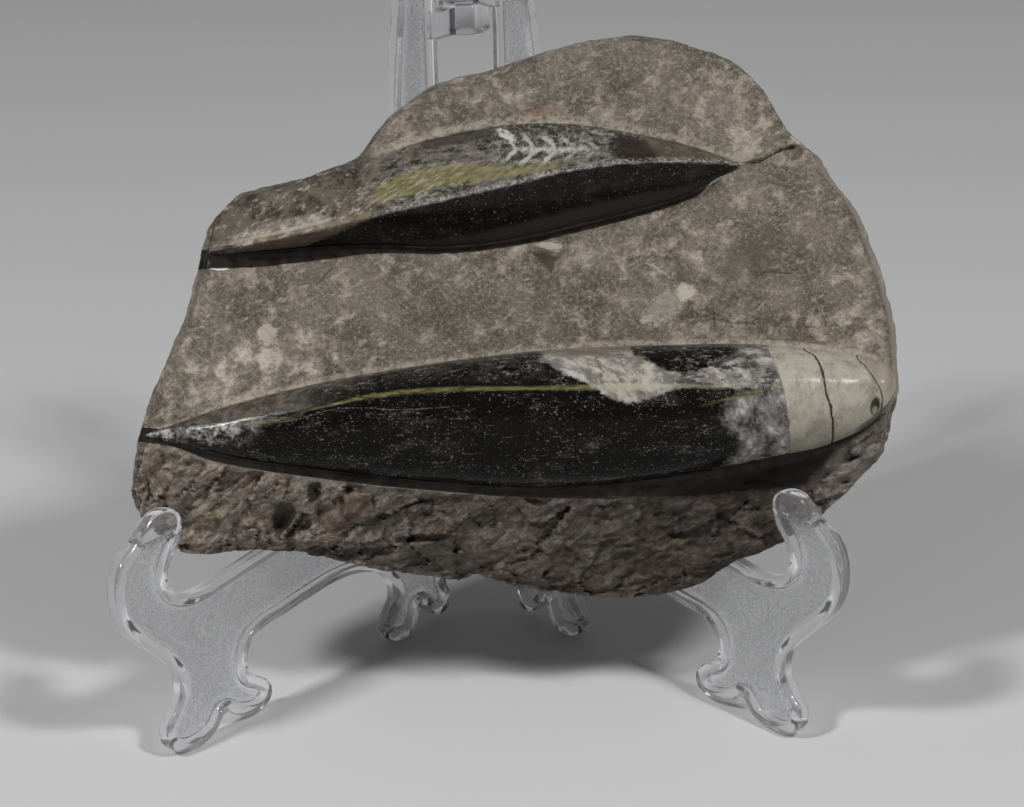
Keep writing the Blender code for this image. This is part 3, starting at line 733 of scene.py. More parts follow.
def wing_piece(name, side, carries_pins, material):
    """One half of the stand, with its barrels, and with pins or bores in them."""
    piece = wing_shell(name, side, material)
    place = Matrix.Translation(HINGE * MM) @ wing_axes(side).to_4x4()
    cutters = []
    for level in BARREL_BOTTOMS:
        low = level + (BARREL_HEIGHT + BARREL_GAP if carries_pins else 0.0)
        high = low + BARREL_HEIGHT
        start = PIN_RADIUS + 1.2
        size = (NECK_REACH - start, high - low - 2.0 * NECK_STEP, NECK_THICK)
        middle = ((NECK_REACH + start) / 2.0, (low + high) / 2.0, 0.0)
        cutters.append(("UNION", block(size, middle, place)))
        cutters.append(("UNION", upright(BARREL_RADIUS, low, high, place, 0.5)))
        if carries_pins:
            cutters.append(("UNION", upright(PIN_RADIUS, low - PIN_LENGTH, low + 1.0, place, 0.3)))
        else:
            cutters.append(("DIFFERENCE", upright(BORE_RADIUS, low - 1.0, high + 1.0, place, 0.0)))
    for operation, cutter in cutters:
        modifier = piece.modifiers.new(operation.lower(), "BOOLEAN")
        modifier.operation = operation
        modifier.solver = "EXACT"
        modifier.object = cutter
    evaluated = piece.evaluated_get(bpy.context.evaluated_depsgraph_get())
    finished = bpy.data.meshes.new_from_object(evaluated)
    piece.modifiers.clear()
    piece.data = finished
    finished.shade_smooth()
    finished.set_sharp_from_angle(angle=SHARP_ANGLE)
    for _, cutter in cutters:
        bpy.data.objects.remove(cutter, do_unlink=True)
    return piece


def cutter_object(bm, place):
    bmesh.ops.scale(bm, vec=(MM, MM, MM), verts=bm.verts)
    bmesh.ops.transform(bm, matrix=place, verts=bm.verts)
    bmesh.ops.recalc_face_normals(bm, faces=bm.faces)
    mesh = bpy.data.meshes.new("cutter")
    bm.to_mesh(mesh)
    bm.free()
    cutter = bpy.data.objects.new("cutter", mesh)
    bpy.context.scene.collection.objects.link(cutter)
    return cutter


def block(size, middle, place):
    bm = bmesh.new()
    matrix = Matrix.Translation(middle) @ Matrix.Diagonal((*size, 1.0))
    bmesh.ops.create_cube(bm, size=1.0, matrix=matrix)
    return cutter_object(bm, place)


def upright(radius, low, high, place, rounded):
    """A round pin or barrel on the hinge axis, with softened rims. Up is its second axis."""
    bm = bmesh.new()
    bmesh.ops.create_cone(
        bm, cap_ends=True, segments=64, radius1=radius, radius2=radius, depth=high - low,
        matrix=Matrix.Translation((0.0, (low + high) / 2.0, 0.0)) @ Matrix.Rotation(math.pi / 2.0, 4, "X"),
    )
    if rounded:
        rims = [edge for edge in bm.edges if len(edge.link_faces[0].verts) != len(edge.link_faces[1].verts)]
        bmesh.ops.bevel(bm, geom=rims, offset=rounded, segments=3, profile=0.5, affect="EDGES")
    return cutter_object(bm, place)


# ---- materials: small sums over a surface -------------------------------------------------------

class Field:
    """A number or colour that varies over a surface: one output of a material's nodes."""

    def __init__(self, socket):
        self.socket = socket
        self.tree = socket.id_data

    def sum(self, operation, *others):
        return Field(node(self.tree, "ShaderNodeMath", (self, *others), operation=operation).outputs[0])

    def __add__(self, other):
        return self.sum("ADD", other)

    def __radd__(self, other):
        return self.sum("ADD", other)

    def __sub__(self, other):
        return self.sum("SUBTRACT", other)

    def __rsub__(self, other):
        return (self * -1.0) + other

    def __mul__(self, other):
        return self.sum("MULTIPLY", other)

    def __rmul__(self, other):
        return self.sum("MULTIPLY", other)

    def __abs__(self):
        return self.sum("ABSOLUTE")

    def most(self, other):
        return self.sum("MAXIMUM", other)

    def least(self, other):
        return self.sum("MINIMUM", other)

    def step(self, low, high):
        """0 below low, 1 above high, smooth between."""
        made = node(self.tree, "ShaderNodeMapRange", (self, low, high), interpolation_type="SMOOTHSTEP")
        return Field(made.outputs[0])

    def within(self, low, high, soft):
        """1 between low and high, fading over soft at either end."""
        return self.step(low - soft, low + soft) * (1.0 - self.step(high - soft, high + soft))


def plug(tree, socket, value):
    if isinstance(value, Field):
        tree.links.new(value.socket, socket)
    elif isinstance(value, tuple) and len(value) == 3 and socket.type == "RGBA":
        socket.default_value = (*value, 1.0)
    else:
        socket.default_value = value


def node(tree, kind, values=(), **settings):
    """A node with its settings, and values for its first inputs, or for named ones."""
    made = tree.nodes.new(kind)
    for name, setting in settings.items():
        setattr(made, name, setting)
    pairs = values.items() if isinstance(values, dict) else enumerate(values)
    for key, value in pairs:
        plug(tree, made.inputs[key], value)
    return made


class Paint:
    """A material whose nodes work in a piece's own millimetres: self.a, self.b and self.n."""

    def __init__(self, name, origin, axes):
        self.material = bpy.data.materials.new(name)
        self.material.use_nodes = True
        self.tree = self.material.node_tree
        self.shader = self.tree.nodes["Principled BSDF"]
        everywhere = Field(node(self.tree, "ShaderNodeTexCoord").outputs["Object"])
        mapping = node(
            self.tree, "ShaderNodeMapping",
            {"Vector": everywhere, "Location": Vector(origin) * MM, "Rotation": axes.to_euler("XYZ"),
             "Scale": (MM, MM, MM)},
            vector_type="TEXTURE",
        )
        self.place = Field(mapping.outputs[0])
        parts = node(self.tree, "ShaderNodeSeparateXYZ", (self.place,))
        self.a, self.b, self.n = (Field(output) for output in parts.outputs)

    def at(self, a, b, n=0.0):
        return Field(node(self.tree, "ShaderNodeCombineXYZ", (a, b, n)).outputs[0])

    def stretched(self, slant, longer, shift=0.0):
        """Places turned by an angle and drawn out along it."""
        turn = math.radians(slant)
        lengthwise = self.a * math.cos(turn) + self.b * math.sin(turn)
        across = self.b * math.cos(turn) - self.a * math.sin(turn)
        return self.at(lengthwise * (1.0 / longer), across, self.n + shift)

    def noise(self, size, detail=3.0, rough=0.55, place=None, twist=0.0):
        """Noise from 0 to 1 with spots of about the given size."""
        values = {"Vector": place or self.place, "Scale": 1.0 / size, "Detail": detail,
                  "Roughness": rough, "Distortion": twist}
        return Field(node(self.tree, "ShaderNodeTexNoise", values).outputs[0])

    def stir(self, size, detail=3.0, rough=0.6, place=None):
        """The same noise, about -1 to 1."""
        return (self.noise(size, detail, rough, place) - 0.5) * 4.5

    def curve(self, x, points):
        """A smooth line through points (x, y) as a number over the surface."""
        points = np.array(points, dtype=float)
        low, high = points.min(axis=0), points.max(axis=0)
        span = np.maximum(high - low, 1e-6)
        scaled = (x - float(low[0])) * (1.0 / float(span[0]))
        made = node(self.tree, "ShaderNodeFloatCurve", {"Value": scaled})
        curve = made.mapping.curves[0]
        ready = (points - low) / span
        curve.points[0].location = ready[0]
        curve.points[1].location = ready[-1]
        for point in ready[1:-1]:
            curve.points.new(*point)
        made.mapping.extend = "HORIZONTAL"
        made.mapping.update()
        return Field(made.outputs[0]) * float(span[1]) + float(low[1])

    def threads(self, size, width, place=None):
        """1 on thin wandering lines."""
        return 1.0 - abs(self.noise(size, 2.0, 0.5, place) - 0.5).step(width * 0.4, width)

    def stroke(self, points, width, soft=0.5, across=None):
        """1 on a line drawn from left to right through points, tapering to both ends."""
        x, y = across or (self.a, self.b)
        low, high = points[0][0], points[-1][0]
        reach = 0.12 * (high - low)
        taper = (x - low).step(0.0, reach) * (high - x).step(0.0, reach)
        gap = abs(y - self.curve(x, points))
        return (taper * width - gap).step(-soft * width, soft * width) * taper

    def stored(self, name):
        return Field(node(self.tree, "ShaderNodeAttribute", attribute_name=name).outputs["Fac"])

    def spot(self, place, size, soft=0.35, slant=0.0):
        """1 inside an oval, fading at its edge."""
        turn = math.radians(slant)
        x, y = self.a - place[0], self.b - place[1]
        across = x * (math.cos(turn) / size[0]) + y * (math.sin(turn) / size[0])
        up = y * (math.cos(turn) / size[1]) - x * (math.sin(turn) / size[1])
        return 1.0 - (across * across + up * up).step(1.0 - soft, 1.0 + soft)

    def inside(self, corners, soft, shift):
        """1 inside a convex shape whose corners are listed clockwise, fading at its sides."""
        share = None
        for start, end in zip(corners, corners[1:] + corners[:1]):
            run = np.subtract(end, start) / math.dist(start, end)
            gap = (self.a - start[0]) * float(run[1]) - (self.b - start[1]) * float(run[0]) + shift
            share = gap.step(-soft, soft).least(1.0 if share is None else share)
        return share

    def distance_to(self, place):
        """Distance from a point in the plane of a and b."""
        across, up = self.a - place[0], self.b - place[1]
        return (across * across + up * up).sum("SQRT")

    def mix(self, first, second, share):
        made = node(self.tree, "ShaderNodeMix", (share,), data_type="RGBA")
        plug(self.tree, made.inputs[6], first)
        plug(self.tree, made.inputs[7], second)
        return Field(made.outputs[2])

    def marked(self, colour, marks, ragged, full):
        """The colour with marks on it: the place, size, slant, tint and strength of each."""
        for place, size, slant, tint, amount in marks:
            shape = self.spot(place, size, 0.8, slant) + ragged
            colour = self.mix(colour, tint, shape.step(0.35, full) * amount)
        return colour

    def finish(self, bumps=(), **values):
        """Sets the shader. Each bump is a height and how deep it is, in millimetres."""
        for name, value in values.items():
            plug(self.tree, self.shader.inputs[name.replace("_", " ")], value)
        if bumps:
            height = sum(height * deep for height, deep in bumps)
            bump = node(self.tree, "ShaderNodeBump", {"Height": height, "Distance": MM, "Strength": 1.0})
            plug(self.tree, self.shader.inputs["Normal"], Field(bump.outputs[0]))
        return self.material


def columns(stations, which):
    """Places along a fossil with one of its columns, such as its upper edge."""
    return [(row[0], row[which]) for row in stations]


def grey(value):
    return (value, value, value)


def rocky_colour(paint, height):
    """Polished rock at the small fossil's left end: dark blotches, and a pale strip over its ridge."""
    rock = paint.noise(3.2, 6.0, 0.78, place=paint.stretched(28.0, 1.5))
    colour = paint.mix((0.032, 0.027, 0.022), (0.135, 0.114, 0.092), rock.step(0.38, 0.58))
    pale = paint.noise(1.7, 5.0, 0.75, place=paint.stretched(24.0, 1.6, 6.0))
    colour = paint.mix(colour, (0.34, 0.30, 0.25), pale.step(0.54, 0.62) * 0.85)
    uneven = paint.stir(3.0, 5.0, 0.7)
    strip = (height + uneven * 0.7).within(-0.2, 3.2, 0.9)
    strip = strip * (paint.a + uneven * 2.0).within(-65.0, -41.0, 3.0)
    colour = paint.mix(colour, (0.37, 0.32, 0.26), strip * (0.18 + pale.step(0.42, 0.58) * 0.6))
    reddish = (height + uneven * 0.4).within(-3.4, -0.4, 0.6)
    reddish = reddish * (paint.a + uneven).within(-66.0, -36.0, 3.0)
    return paint.mix(colour, (0.105, 0.070, 0.050), reddish * 0.75)


# Where the face is more mottled: place, half-width and half-height, how much
MOTTLED = (
    ((-62.0, 5.0), (19.0, 9.0), 0.115), ((-46.0, 12.5), (20.0, 4.0), 0.08),
    ((62.0, 61.0), (10.0, 6.0), 0.09), ((-22.0, 63.0), (12.0, 5.0), 0.08),
    ((0.0, 34.5), (40.0, 4.0), 0.05), ((40.0, 38.0), (18.0, 5.0), 0.05),
    ((80.0, 16.0), (10.0, 6.0), 0.09), ((6.0, 70.0), (34.0, 5.0), 0.04),
    ((50.0, 68.0), (12.0, 9.0), 0.06), ((-58.0, 28.0), (14.0, 6.0), 0.05),
    ((20.0, 17.0), (40.0, 3.0), 0.05), ((44.0, 28.0), (5.0, 7.0), 0.05),
    ((84.0, 30.0), (6.0, 14.0), 0.04),
)
# Single marks: place, half-width and half-height, slant in degrees, colour, strength
FACE_MARKS = (
    ((40.4, 26.0), (2.4, 2.2), 30.0, (0.52, 0.47, 0.39), 0.75),
    ((31.6, 19.8), (1.8, 0.9), 30.0, (0.46, 0.41, 0.34), 0.6),
    ((-57.2, 16.6), (2.5, 2.0), 20.0, (0.50, 0.44, 0.36), 0.8),
    ((54.0, 57.8), (3.0, 1.8), 20.0, (0.46, 0.40, 0.33), 0.5),
    ((56.4, 34.0), (8.0, 5.0), 25.0, (0.105, 0.091, 0.074), 0.5),
    ((19.8, 86.4), (3.4, 1.1), 8.0, (0.34, 0.18, 0.07), 0.5),
    # a painted highlight: a short white streak
    ((-68.6, 31.6), (2.2, 0.5), 0.0, (0.85, 0.83, 0.78), 0.9),
    ((6.0, 67.6), (3.8, 1.3), 15.0, (0.36, 0.21, 0.11), 0.3),
    ((66.0, 58.6), (2.6, 1.6), 30.0, (0.045, 0.042, 0.040), 0.75),
    ((8.7, 36.9), (3.2, 0.9), -8.0, (0.48, 0.43, 0.36), 0.75),
)
BREAK_MARKS = (
    ((-37.4, -24.6), (4.6, 4.2), 0.0, (0.185, 0.120, 0.092), 0.75),
    ((-41.6, -23.6), (1.1, 3.6), 0.0, (0.36, 0.315, 0.27), 0.65),
    ((-43.4, -18.4), (3.2, 1.4), 10.0, (0.27, 0.235, 0.195), 0.8),
    # painted shade in the smooth bowl
    ((-53.8, -27.6), (3.0, 5.0), -10.0, (0.030, 0.025, 0.021), 0.8),
    # painted shade in the hollow
    ((-46.4, -20.6), (1.6, 2.6), -20.0, (0.020, 0.017, 0.014), 0.85),
    ((-74.4, -25.6), (3.2, 0.9), 32.0, (0.44, 0.39, 0.32), 0.65),
    ((-66.2, -27.0), (4.4, 1.1), 45.0, (0.42, 0.37, 0.30), 0.6),
    # painted shade along the bottom edge, where the underside turns away
    ((-52.0, -36.6), (22.0, 2.2), 4.0, (0.024, 0.020, 0.017), 0.7),
    # painted shade in the dark underside of a ledge
    ((-21.6, -31.8), (8.4, 1.0), 4.0, (0.012, 0.010, 0.008), 0.85),
    ((-18.0, -36.6), (9.0, 3.6), 0.0, (0.165, 0.145, 0.122), 0.6),
    ((80.0, -13.0), (9.0, 7.0), 30.0, (0.150, 0.134, 0.115), 0.5),
    ((78.0, -15.6), (4.4, 1.2), 32.0, (0.42, 0.38, 0.325), 0.65),
    ((84.4, -11.0), (2.6, 1.2), 40.0, (0.40, 0.36, 0.305), 0.65),
    ((82.0, -17.6), (3.0, 0.8), 25.0, (0.40, 0.36, 0.305), 0.5),
    ((80.6, -8.4), (4.6, 1.2), 28.0, (0.034, 0.030, 0.026), 0.7),
    ((-71.6, -27.6), (3.0, 1.6), 20.0, (0.100, 0.080, 0.020), 0.5),
)


def face_colour(paint, grain):
    """The flat face: brown grey, clouded, with pale mottling in places, scratches and dents."""
    a, b = paint.a, paint.b
    cloud = paint.noise(15.0, 5.0, 0.68)
    face = paint.mix((0.100, 0.085, 0.069), (0.190, 0.164, 0.134), cloud.step(0.37, 0.63))
    face = paint.mix(face, (0.056, 0.047, 0.038), (1.0 - grain.step(0.36, 0.52)) * 0.42)
    face = paint.mix(face, (0.32, 0.28, 0.235), grain.step(0.50, 0.66) * 0.55)
    mottle = paint.noise(4.6, 5.0, 0.66, twist=0.25)
    mottle = mottle + sum(paint.spot(place, size, 0.8) * amount for place, size, amount in MOTTLED)
    speckled = paint.noise(0.8, 3.0, 0.7).step(0.38, 0.60) * 0.45 + 0.55
    face = paint.mix(face, (0.46, 0.40, 0.325), mottle.step(0.51, 0.74) * speckled * 0.9)
    leftmost = paint.spot((-60.0, 6.0), (24.0, 14.0), 0.8) * mottle.step(0.62, 0.78)
    face = paint.mix(face, (0.60, 0.54, 0.46), leftmost * (0.25 + grain.step(0.44, 0.60) * 0.6))
    flecks = paint.noise(1.5, 4.0, 0.65, place=paint.stretched(24.0, 2.2, 7.0))
    face = paint.mix(face, (0.46, 0.41, 0.34), flecks.step(0.58, 0.74) * 0.75)
    crumbs = paint.noise(0.6, 2.0, 0.8, place=paint.at(a, b, 23.0))
    face = paint.mix(face, (0.40, 0.355, 0.295), crumbs.step(0.58, 0.66) * 0.5)
    scratches = paint.threads(9.0, 0.012, paint.stretched(31.0, 5.0, 3.0)) * paint.noise(8.0).step(0.5, 0.62)
    face = paint.mix(face, (0.38, 0.34, 0.28), scratches * 0.35)
    dents = paint.threads(5.0, 0.014, paint.stretched(-38.0, 2.5, 9.0))
    dents = dents * paint.noise(7.0, place=paint.at(a, b, 31.0)).step(0.56, 0.68)
    return paint.mix(face, (0.055, 0.046, 0.038), dents * 0.5)


def limestone():
    paint = Paint("limestone", SLAB_ORIGIN, SLAB_AXES)
    a, b = paint.a, paint.b
    lower = paint.curve(a, [(-90.0, -7.6), *columns(LARGE_STATIONS, 3), (92.0, 4.0)])
    upper = paint.curve(a, [(-90.0, -7.6), *columns(LARGE_STATIONS, 1), (92.0, 4.0)])
    small_lower = paint.curve(a, [(-74.0, 34.6), *columns(SMALL_STATIONS, 3), (58.0, 54.8)])
    small_upper = paint.curve(a, [(-74.0, 34.6), *columns(SMALL_STATIONS, 1), (58.0, 55.0)])
    below = lower - b
    jitter = paint.stir(2.0)
    torn = paint.stir(3.0, 5.0, 0.7)
    side = 1.0 - (paint.n + 7.5).step(0.0, 3.0)
    front = (paint.n + 9.0).step(0.0, 3.0)
    broken = (below + jitter * 0.35).step(2.0, 2.8)
    proud = paint.stored("proud")
    grain = paint.noise(1.0, 4.0, 0.78)
    plain = face_colour(paint, grain)

    # a leaf-shaped facet with bright ends, single marks, cracks, a dark triangle, and a pale right rim that
    # is painted rim light
    leaf = (paint.spot((36.2, 22.9), (7.2, 3.2), 0.8, 38.0) + torn * 0.45).step(0.3, 0.85)
    core = (paint.spot((35.6, 23.2), (5.6, 2.0), 0.8, 38.0) + torn * 0.3).step(0.35, 0.8)
    face = paint.mix(plain, (0.46, 0.41, 0.34), leaf * (0.15 + grain.step(0.42, 0.56) * 0.45))
    face = paint.mix(face, (0.270, 0.245, 0.205), core * 0.65)
    face = paint.marked(face, FACE_MARKS, torn * 0.45 + jitter * 0.15, 0.9)
    for line, _, deep in CRACKS:
        tint = (0.50, 0.45, 0.38) if deep < 0.0 else (0.035, 0.030, 0.026)
        steep = abs(line[-1][0] - line[0][0]) < abs(line[-1][1] - line[0][1])
        ordered = sorted((y, x) for x, y in line) if steep else sorted(line)
        across = (b + jitter * 0.3, a) if steep else (a, b + jitter * 0.3)
        mark = paint.stroke(ordered, 0.24, 0.8, across)
        face = paint.mix(face, tint, mark * (0.95 if deep > 0.9 else 0.55))
    face = paint.mix(face, (0.060, 0.048, 0.038), paint.inside(GOUGE, 0.5, jitter * 0.25) * 0.9)
    # painted highlight: a pale band along the right edge, as rim light
    from_right = abs(a - paint.curve(b, [(y, x - 1.0) for x, y in RIGHT_EDGE[3:]]) + torn * 0.4)
    painted_rim_light = (1.0 - from_right.step(0.6, 1.6)) * b.within(-12.0, 58.0, 4.0)
    face = paint.mix(face, (0.40, 0.355, 0.295), painted_rim_light * 0.6)

    # pale ground margins above the fossils, partly painted highlight, brightest above the large fossil's last
    # chambers
    small_margin = (b - small_upper).within(-3.0, 1.7, 0.6) * a.within(-31.0, 51.0, 2.0)
    pale_margin_and_highlight = (b - upper).within(-3.0, 1.2, 0.4).most(small_margin) * a.within(-84.0, 87.0, 2.0)
    chalk_and_highlight = a.within(57.0, 84.0, 3.0) * 0.25 + 0.1 + paint.noise(2.0, 5.0, 0.7).step(0.40, 0.58) * 0.6
    face = paint.mix(face, (0.39, 0.345, 0.28), pale_margin_and_highlight * chalk_and_highlight)
    beside = (b - 36.5).step(0.0, 2.0) * (1.0 - (a + jitter * 1.5 - (b - 56.0) * 0.4).step(-36.0, -32.0))
    small_ridge = paint.curve(a, columns(SMALL_STATIONS, 2))
    face = paint.mix(face, rocky_colour(paint, b - small_ridge), beside * 0.95)

    # the broken face: reddish and grey brown, speckled, pale on its crests, with painted shade in its hollows
    # and, from the middle to the right, under the large fossil
    speckle = paint.noise(1.3, 5.0, 0.8, place=paint.stretched(30.0, 1.5, 3.0))
    blush = paint.noise(8.0, 4.0)
    chipped = paint.mix((0.225, 0.172, 0.140), (0.180, 0.156, 0.134), blush.step(0.42, 0.58))
    chipped = paint.mix(chipped, (0.040, 0.032, 0.026), (1.0 - speckle.step(0.37, 0.50)) * 0.6)
    chipped = paint.mix(chipped, (0.42, 0.365, 0.305), speckle.step(0.53, 0.64) * 0.6)
    splinters = paint.noise(1.5, 4.0, 0.65, place=paint.stretched(37.0, 3.0, 13.0)) + torn * 0.01
    chipped = paint.mix(chipped, (0.42, 0.37, 0.305), splinters.step(0.55, 0.62) * 0.6)
    chipped = paint.mix(chipped, (0.060, 0.048, 0.039), (1.0 - splinters.step(0.38, 0.44)) * 0.5)
    chipped = paint.marked(chipped, BREAK_MARKS, torn * 0.35 + jitter * 0.12, 0.75)
    # painted shade: the broken face darkened towards the right, where the large fossil's bulge shades it
    painted_shade_under_fossil = paint.curve(a, (
        (-90.0, 0.0), (-50.0, 0.05), (-36.0, 0.30), (-20.0, 0.48), (10.0, 0.54), (50.0, 0.72), (66.0, 0.66),
        (74.0, 0.12), (92.0, 0.0),
    ))
    # painted shade: darker where a point lies within its surroundings
    hollow = (proud * -1.0).step(0.05, 0.65)
    chipped = paint.mix(chipped, (0.024, 0.019, 0.0155), hollow * 0.5)
    chipped = paint.mix(chipped, (0.40, 0.35, 0.295), proud.step(0.10, 0.45) * speckle.step(0.42, 0.54) * 0.5)
    chipped = paint.mix(chipped, (0.014, 0.0115, 0.009), painted_shade_under_fossil)
    colour = paint.mix(paint.mix(plain, face, front), chipped, broken.most(side * 0.45))
    edge_wear = proud.step(0.12, 0.35) * (1.0 - broken)
    colour = paint.mix(colour, (0.40, 0.35, 0.285), edge_wear * 0.6)

    # ground and polished bands beside the fossils, painted near black as partly painted shadow under the
    # fossils' lower flanks
    reach = paint.curve(a, (
        (-90.0, 1.4), (-60.0, 2.0), (0.0, 2.3), (22.0, 3.2), (42.0, 6.0), (54.0, 8.0), (64.0, 9.0),
        (70.0, 7.4), (75.0, 3.4), (80.0, 1.6), (92.0, 0.6),
    ))
    soft = paint.curve(a, [(-90.0, 0.3), (20.0, 0.5), (42.0, 2.6), (68.0, 4.0), (84.0, 1.6), (92.0, 0.6)])
    band = (reach - below + torn * soft * 0.25).sum("DIVIDE", soft).step(-0.5, 0.5)
    band = band * (below + 2.0).step(0.0, 0.3) * a.within(-92.0, 88.0, 4.0)
    drop = small_lower - b
    small_reach = paint.curve(a, (
        (-78.0, 2.6), (-64.0, 3.4), (-50.0, 3.2), (-30.0, 1.7), (-10.0, 1.2), (20.0, 1.3), (58.0, 0.6),
    ))
    strip = (small_reach + jitter * 0.12 - drop).step(-0.2, 0.2) * (drop + 1.4).step(0.0, 0.3)
    strip = strip * a.within(-80.0, 52.0, 2.5)
    polished_and_shadowed = band.most(strip) * front
    blotches = paint.noise(3.0, 4.0).step(0.4, 0.6)
    shadowed_band_colour = paint.mix((0.0085, 0.0072, 0.0062), (0.020, 0.0165, 0.0135), blotches)
    # painted shadow: darkest under the right half of the large fossil
    painted_shadow_right = a.within(36.0, 74.0, 8.0) * (below - 1.5).step(0.0, 1.5)
    shadowed_band_colour = paint.mix(shadowed_band_colour, (0.0035, 0.0028, 0.0022), painted_shadow_right)
    colour = paint.mix(colour, shadowed_band_colour, polished_and_shadowed * 0.99)
    rough = paint.mix(grey(0.62), grey(0.30), polished_and_shadowed)
    gloss = (b - small_ridge).within(1.6, 4.4, 0.6) * a.within(-64.0, -43.0, 3.0)
    rough = paint.mix(rough, grey(0.14), gloss)

    dry = 1.0 - polished_and_shadowed.most(gloss * 0.8)
    fine = paint.noise(0.45, 3.0, 0.8)
    bumps = ((speckle * broken.most(side) * dry, 0.45), (grain * dry, 0.7), (fine * dry, 0.3))
    return paint.finish(bumps, Base_Color=colour, Roughness=rough, Specular_IOR_Level=0.11)


def large_fossil():
    paint = Paint("black_calcite", SLAB_ORIGIN, SLAB_AXES)
    a, b = paint.a, paint.b
    upper = paint.curve(a, columns(LARGE_STATIONS, 1))
    ridge = paint.curve(a, columns(LARGE_STATIONS, 2))
    jitter = paint.stir(1.6, 3.0, 0.65)
    sway = paint.stir(6.0, 3.0, 0.6)

    # black calcite with drawn-out grey clouds and fine white specks
    dust = paint.noise(5.0, 5.0, 0.7, place=paint.stretched(3.0, 2.6))
    colour = paint.mix((0.0042, 0.0038, 0.0033), (0.026, 0.0235, 0.021), dust.step(0.50, 0.70) * 0.7)
    haze = (b - ridge).step(0.0, 5.0) * (1.0 - a.step(-10.0, 30.0))
    haze = haze * paint.noise(3.0, 4.0, 0.7).step(0.38, 0.60)
    colour = paint.mix(colour, (0.040, 0.035, 0.030), haze * 0.7)
    flour = paint.noise(0.9, 4.0, 0.8, place=paint.stretched(6.0, 2.2, 27.0)) + (dust - 0.5) * 0.4
    colour = paint.mix(colour, (0.30, 0.285, 0.26), flour.step(0.54, 0.68) * (b - ridge).step(1.0, 3.0) * 0.6)
    specks = paint.noise(0.55, 3.0, 0.8) + (dust - 0.5) * 0.25
    colour = paint.mix(colour, (0.28, 0.27, 0.25), specks.step(0.61, 0.70) * 0.8)
    knots = paint.noise(1.9, 4.0, 0.8, place=paint.at(a, b, 17.0)) + (dust - 0.5) * 0.2
    colour = paint.mix(colour, (0.26, 0.25, 0.23), knots.step(0.63, 0.70) * 0.6)
    rows = paint.noise(0.8, 3.0, 0.7, place=paint.stretched(4.0, 5.0, 5.0)) + (dust - 0.5) * 0.3
    colour = paint.mix(colour, (0.20, 0.19, 0.175), rows.step(0.61, 0.69) * 0.3)
    wires = paint.threads(8.0, 0.004, paint.stretched(80.0, 3.0, 9.0))
    wires = wires * paint.noise(9.0, place=paint.at(a, b, 5.0)).step(0.58, 0.70) * dust.step(0.44, 0.54)
    colour = paint.mix(colour, (0.12, 0.075, 0.055), wires * 0.35)
    faint_line = ((-60.0, -5.6), (-49.6, -3.6), (-36.0, -1.0), (-27.0, -1.4), (-10.0, -0.2))
    faint = paint.stroke(faint_line, 0.12, 0.9)
    colour = paint.mix(colour, (0.20, 0.19, 0.15), faint * specks.step(0.42, 0.55) * 0.35)

    # the tip: grey and white below its ridge, brown grey rock above it
    tip = (1.0 - (a + sway * 4.0 - b * 0.8).step(-62.0, -50.0)) * (ridge - b + 1.4).step(0.0, 0.8)
    curd = paint.noise(1.7, 5.0, 0.74) + (b - ridge + 1.4) * 0.035
    curdled = paint.mix((0.014, 0.013, 0.012), (0.16, 0.155, 0.145), curd.step(0.40, 0.54))
    curdled = paint.mix(curdled, (0.50, 0.49, 0.47), curd.step(0.52, 0.64) * 0.85)
    colour = paint.mix(colour, curdled, tip * 0.85)
    skin = 1.0 - (a + sway * 7.0 - (b - ridge) * 1.4).step(-58.0, -44.0)
    skin = skin * (b - ridge + sway * 0.8 - 1.2).step(-0.3, 0.6)
    brown = paint.mix((0.052, 0.043, 0.036), (0.120, 0.102, 0.085), paint.noise(2.2, 5.0, 0.7).step(0.4, 0.6))
    colour = paint.mix(colour, brown, skin * 0.9)

    # the mustard line along the ridge, and a second short one
    fibre = paint.noise(0.5, 3.0, 0.6, place=paint.stretched(3.0, 7.0))
    mustard = paint.mix((0.050, 0.043, 0.014), (0.140, 0.126, 0.052), fibre.step(0.38, 0.60))
    line = paint.curve(a, (
        (-51.5, -3.0), (-49.4, -2.2), (-40.4, 0.0), (-31.5, 1.8), (-19.7, 3.0), (-8.0, 3.4), (1.8, 3.45),
        (9.6, 3.6), (22.0, 3.7),
    ))
    thick = paint.curve(a, (
        (-52.0, 0.02), (-44.0, 0.20), (-34.0, 0.42), (-20.0, 0.52), (0.0, 0.42), (23.0, 0.75),
    ))
    stripe = (thick + jitter * 0.08 - abs(b + jitter * 0.08 - line)).step(-0.35, 0.35)
    colour = paint.mix(colour, mustard, stripe * a.within(-51.0, 24.0, 1.5) * 0.95)
    pale_start = paint.stroke(((-63.5, -5.3), (-58.0, -4.3), (-52.0, -3.4), (-46.0, -2.6)), 0.42, 0.9)
    pale_start = pale_start * fibre.step(0.38, 0.52) * (1.0 - a.step(-58.0, -46.0))
    colour = paint.mix(colour, (0.20, 0.185, 0.125), pale_start * 0.7)

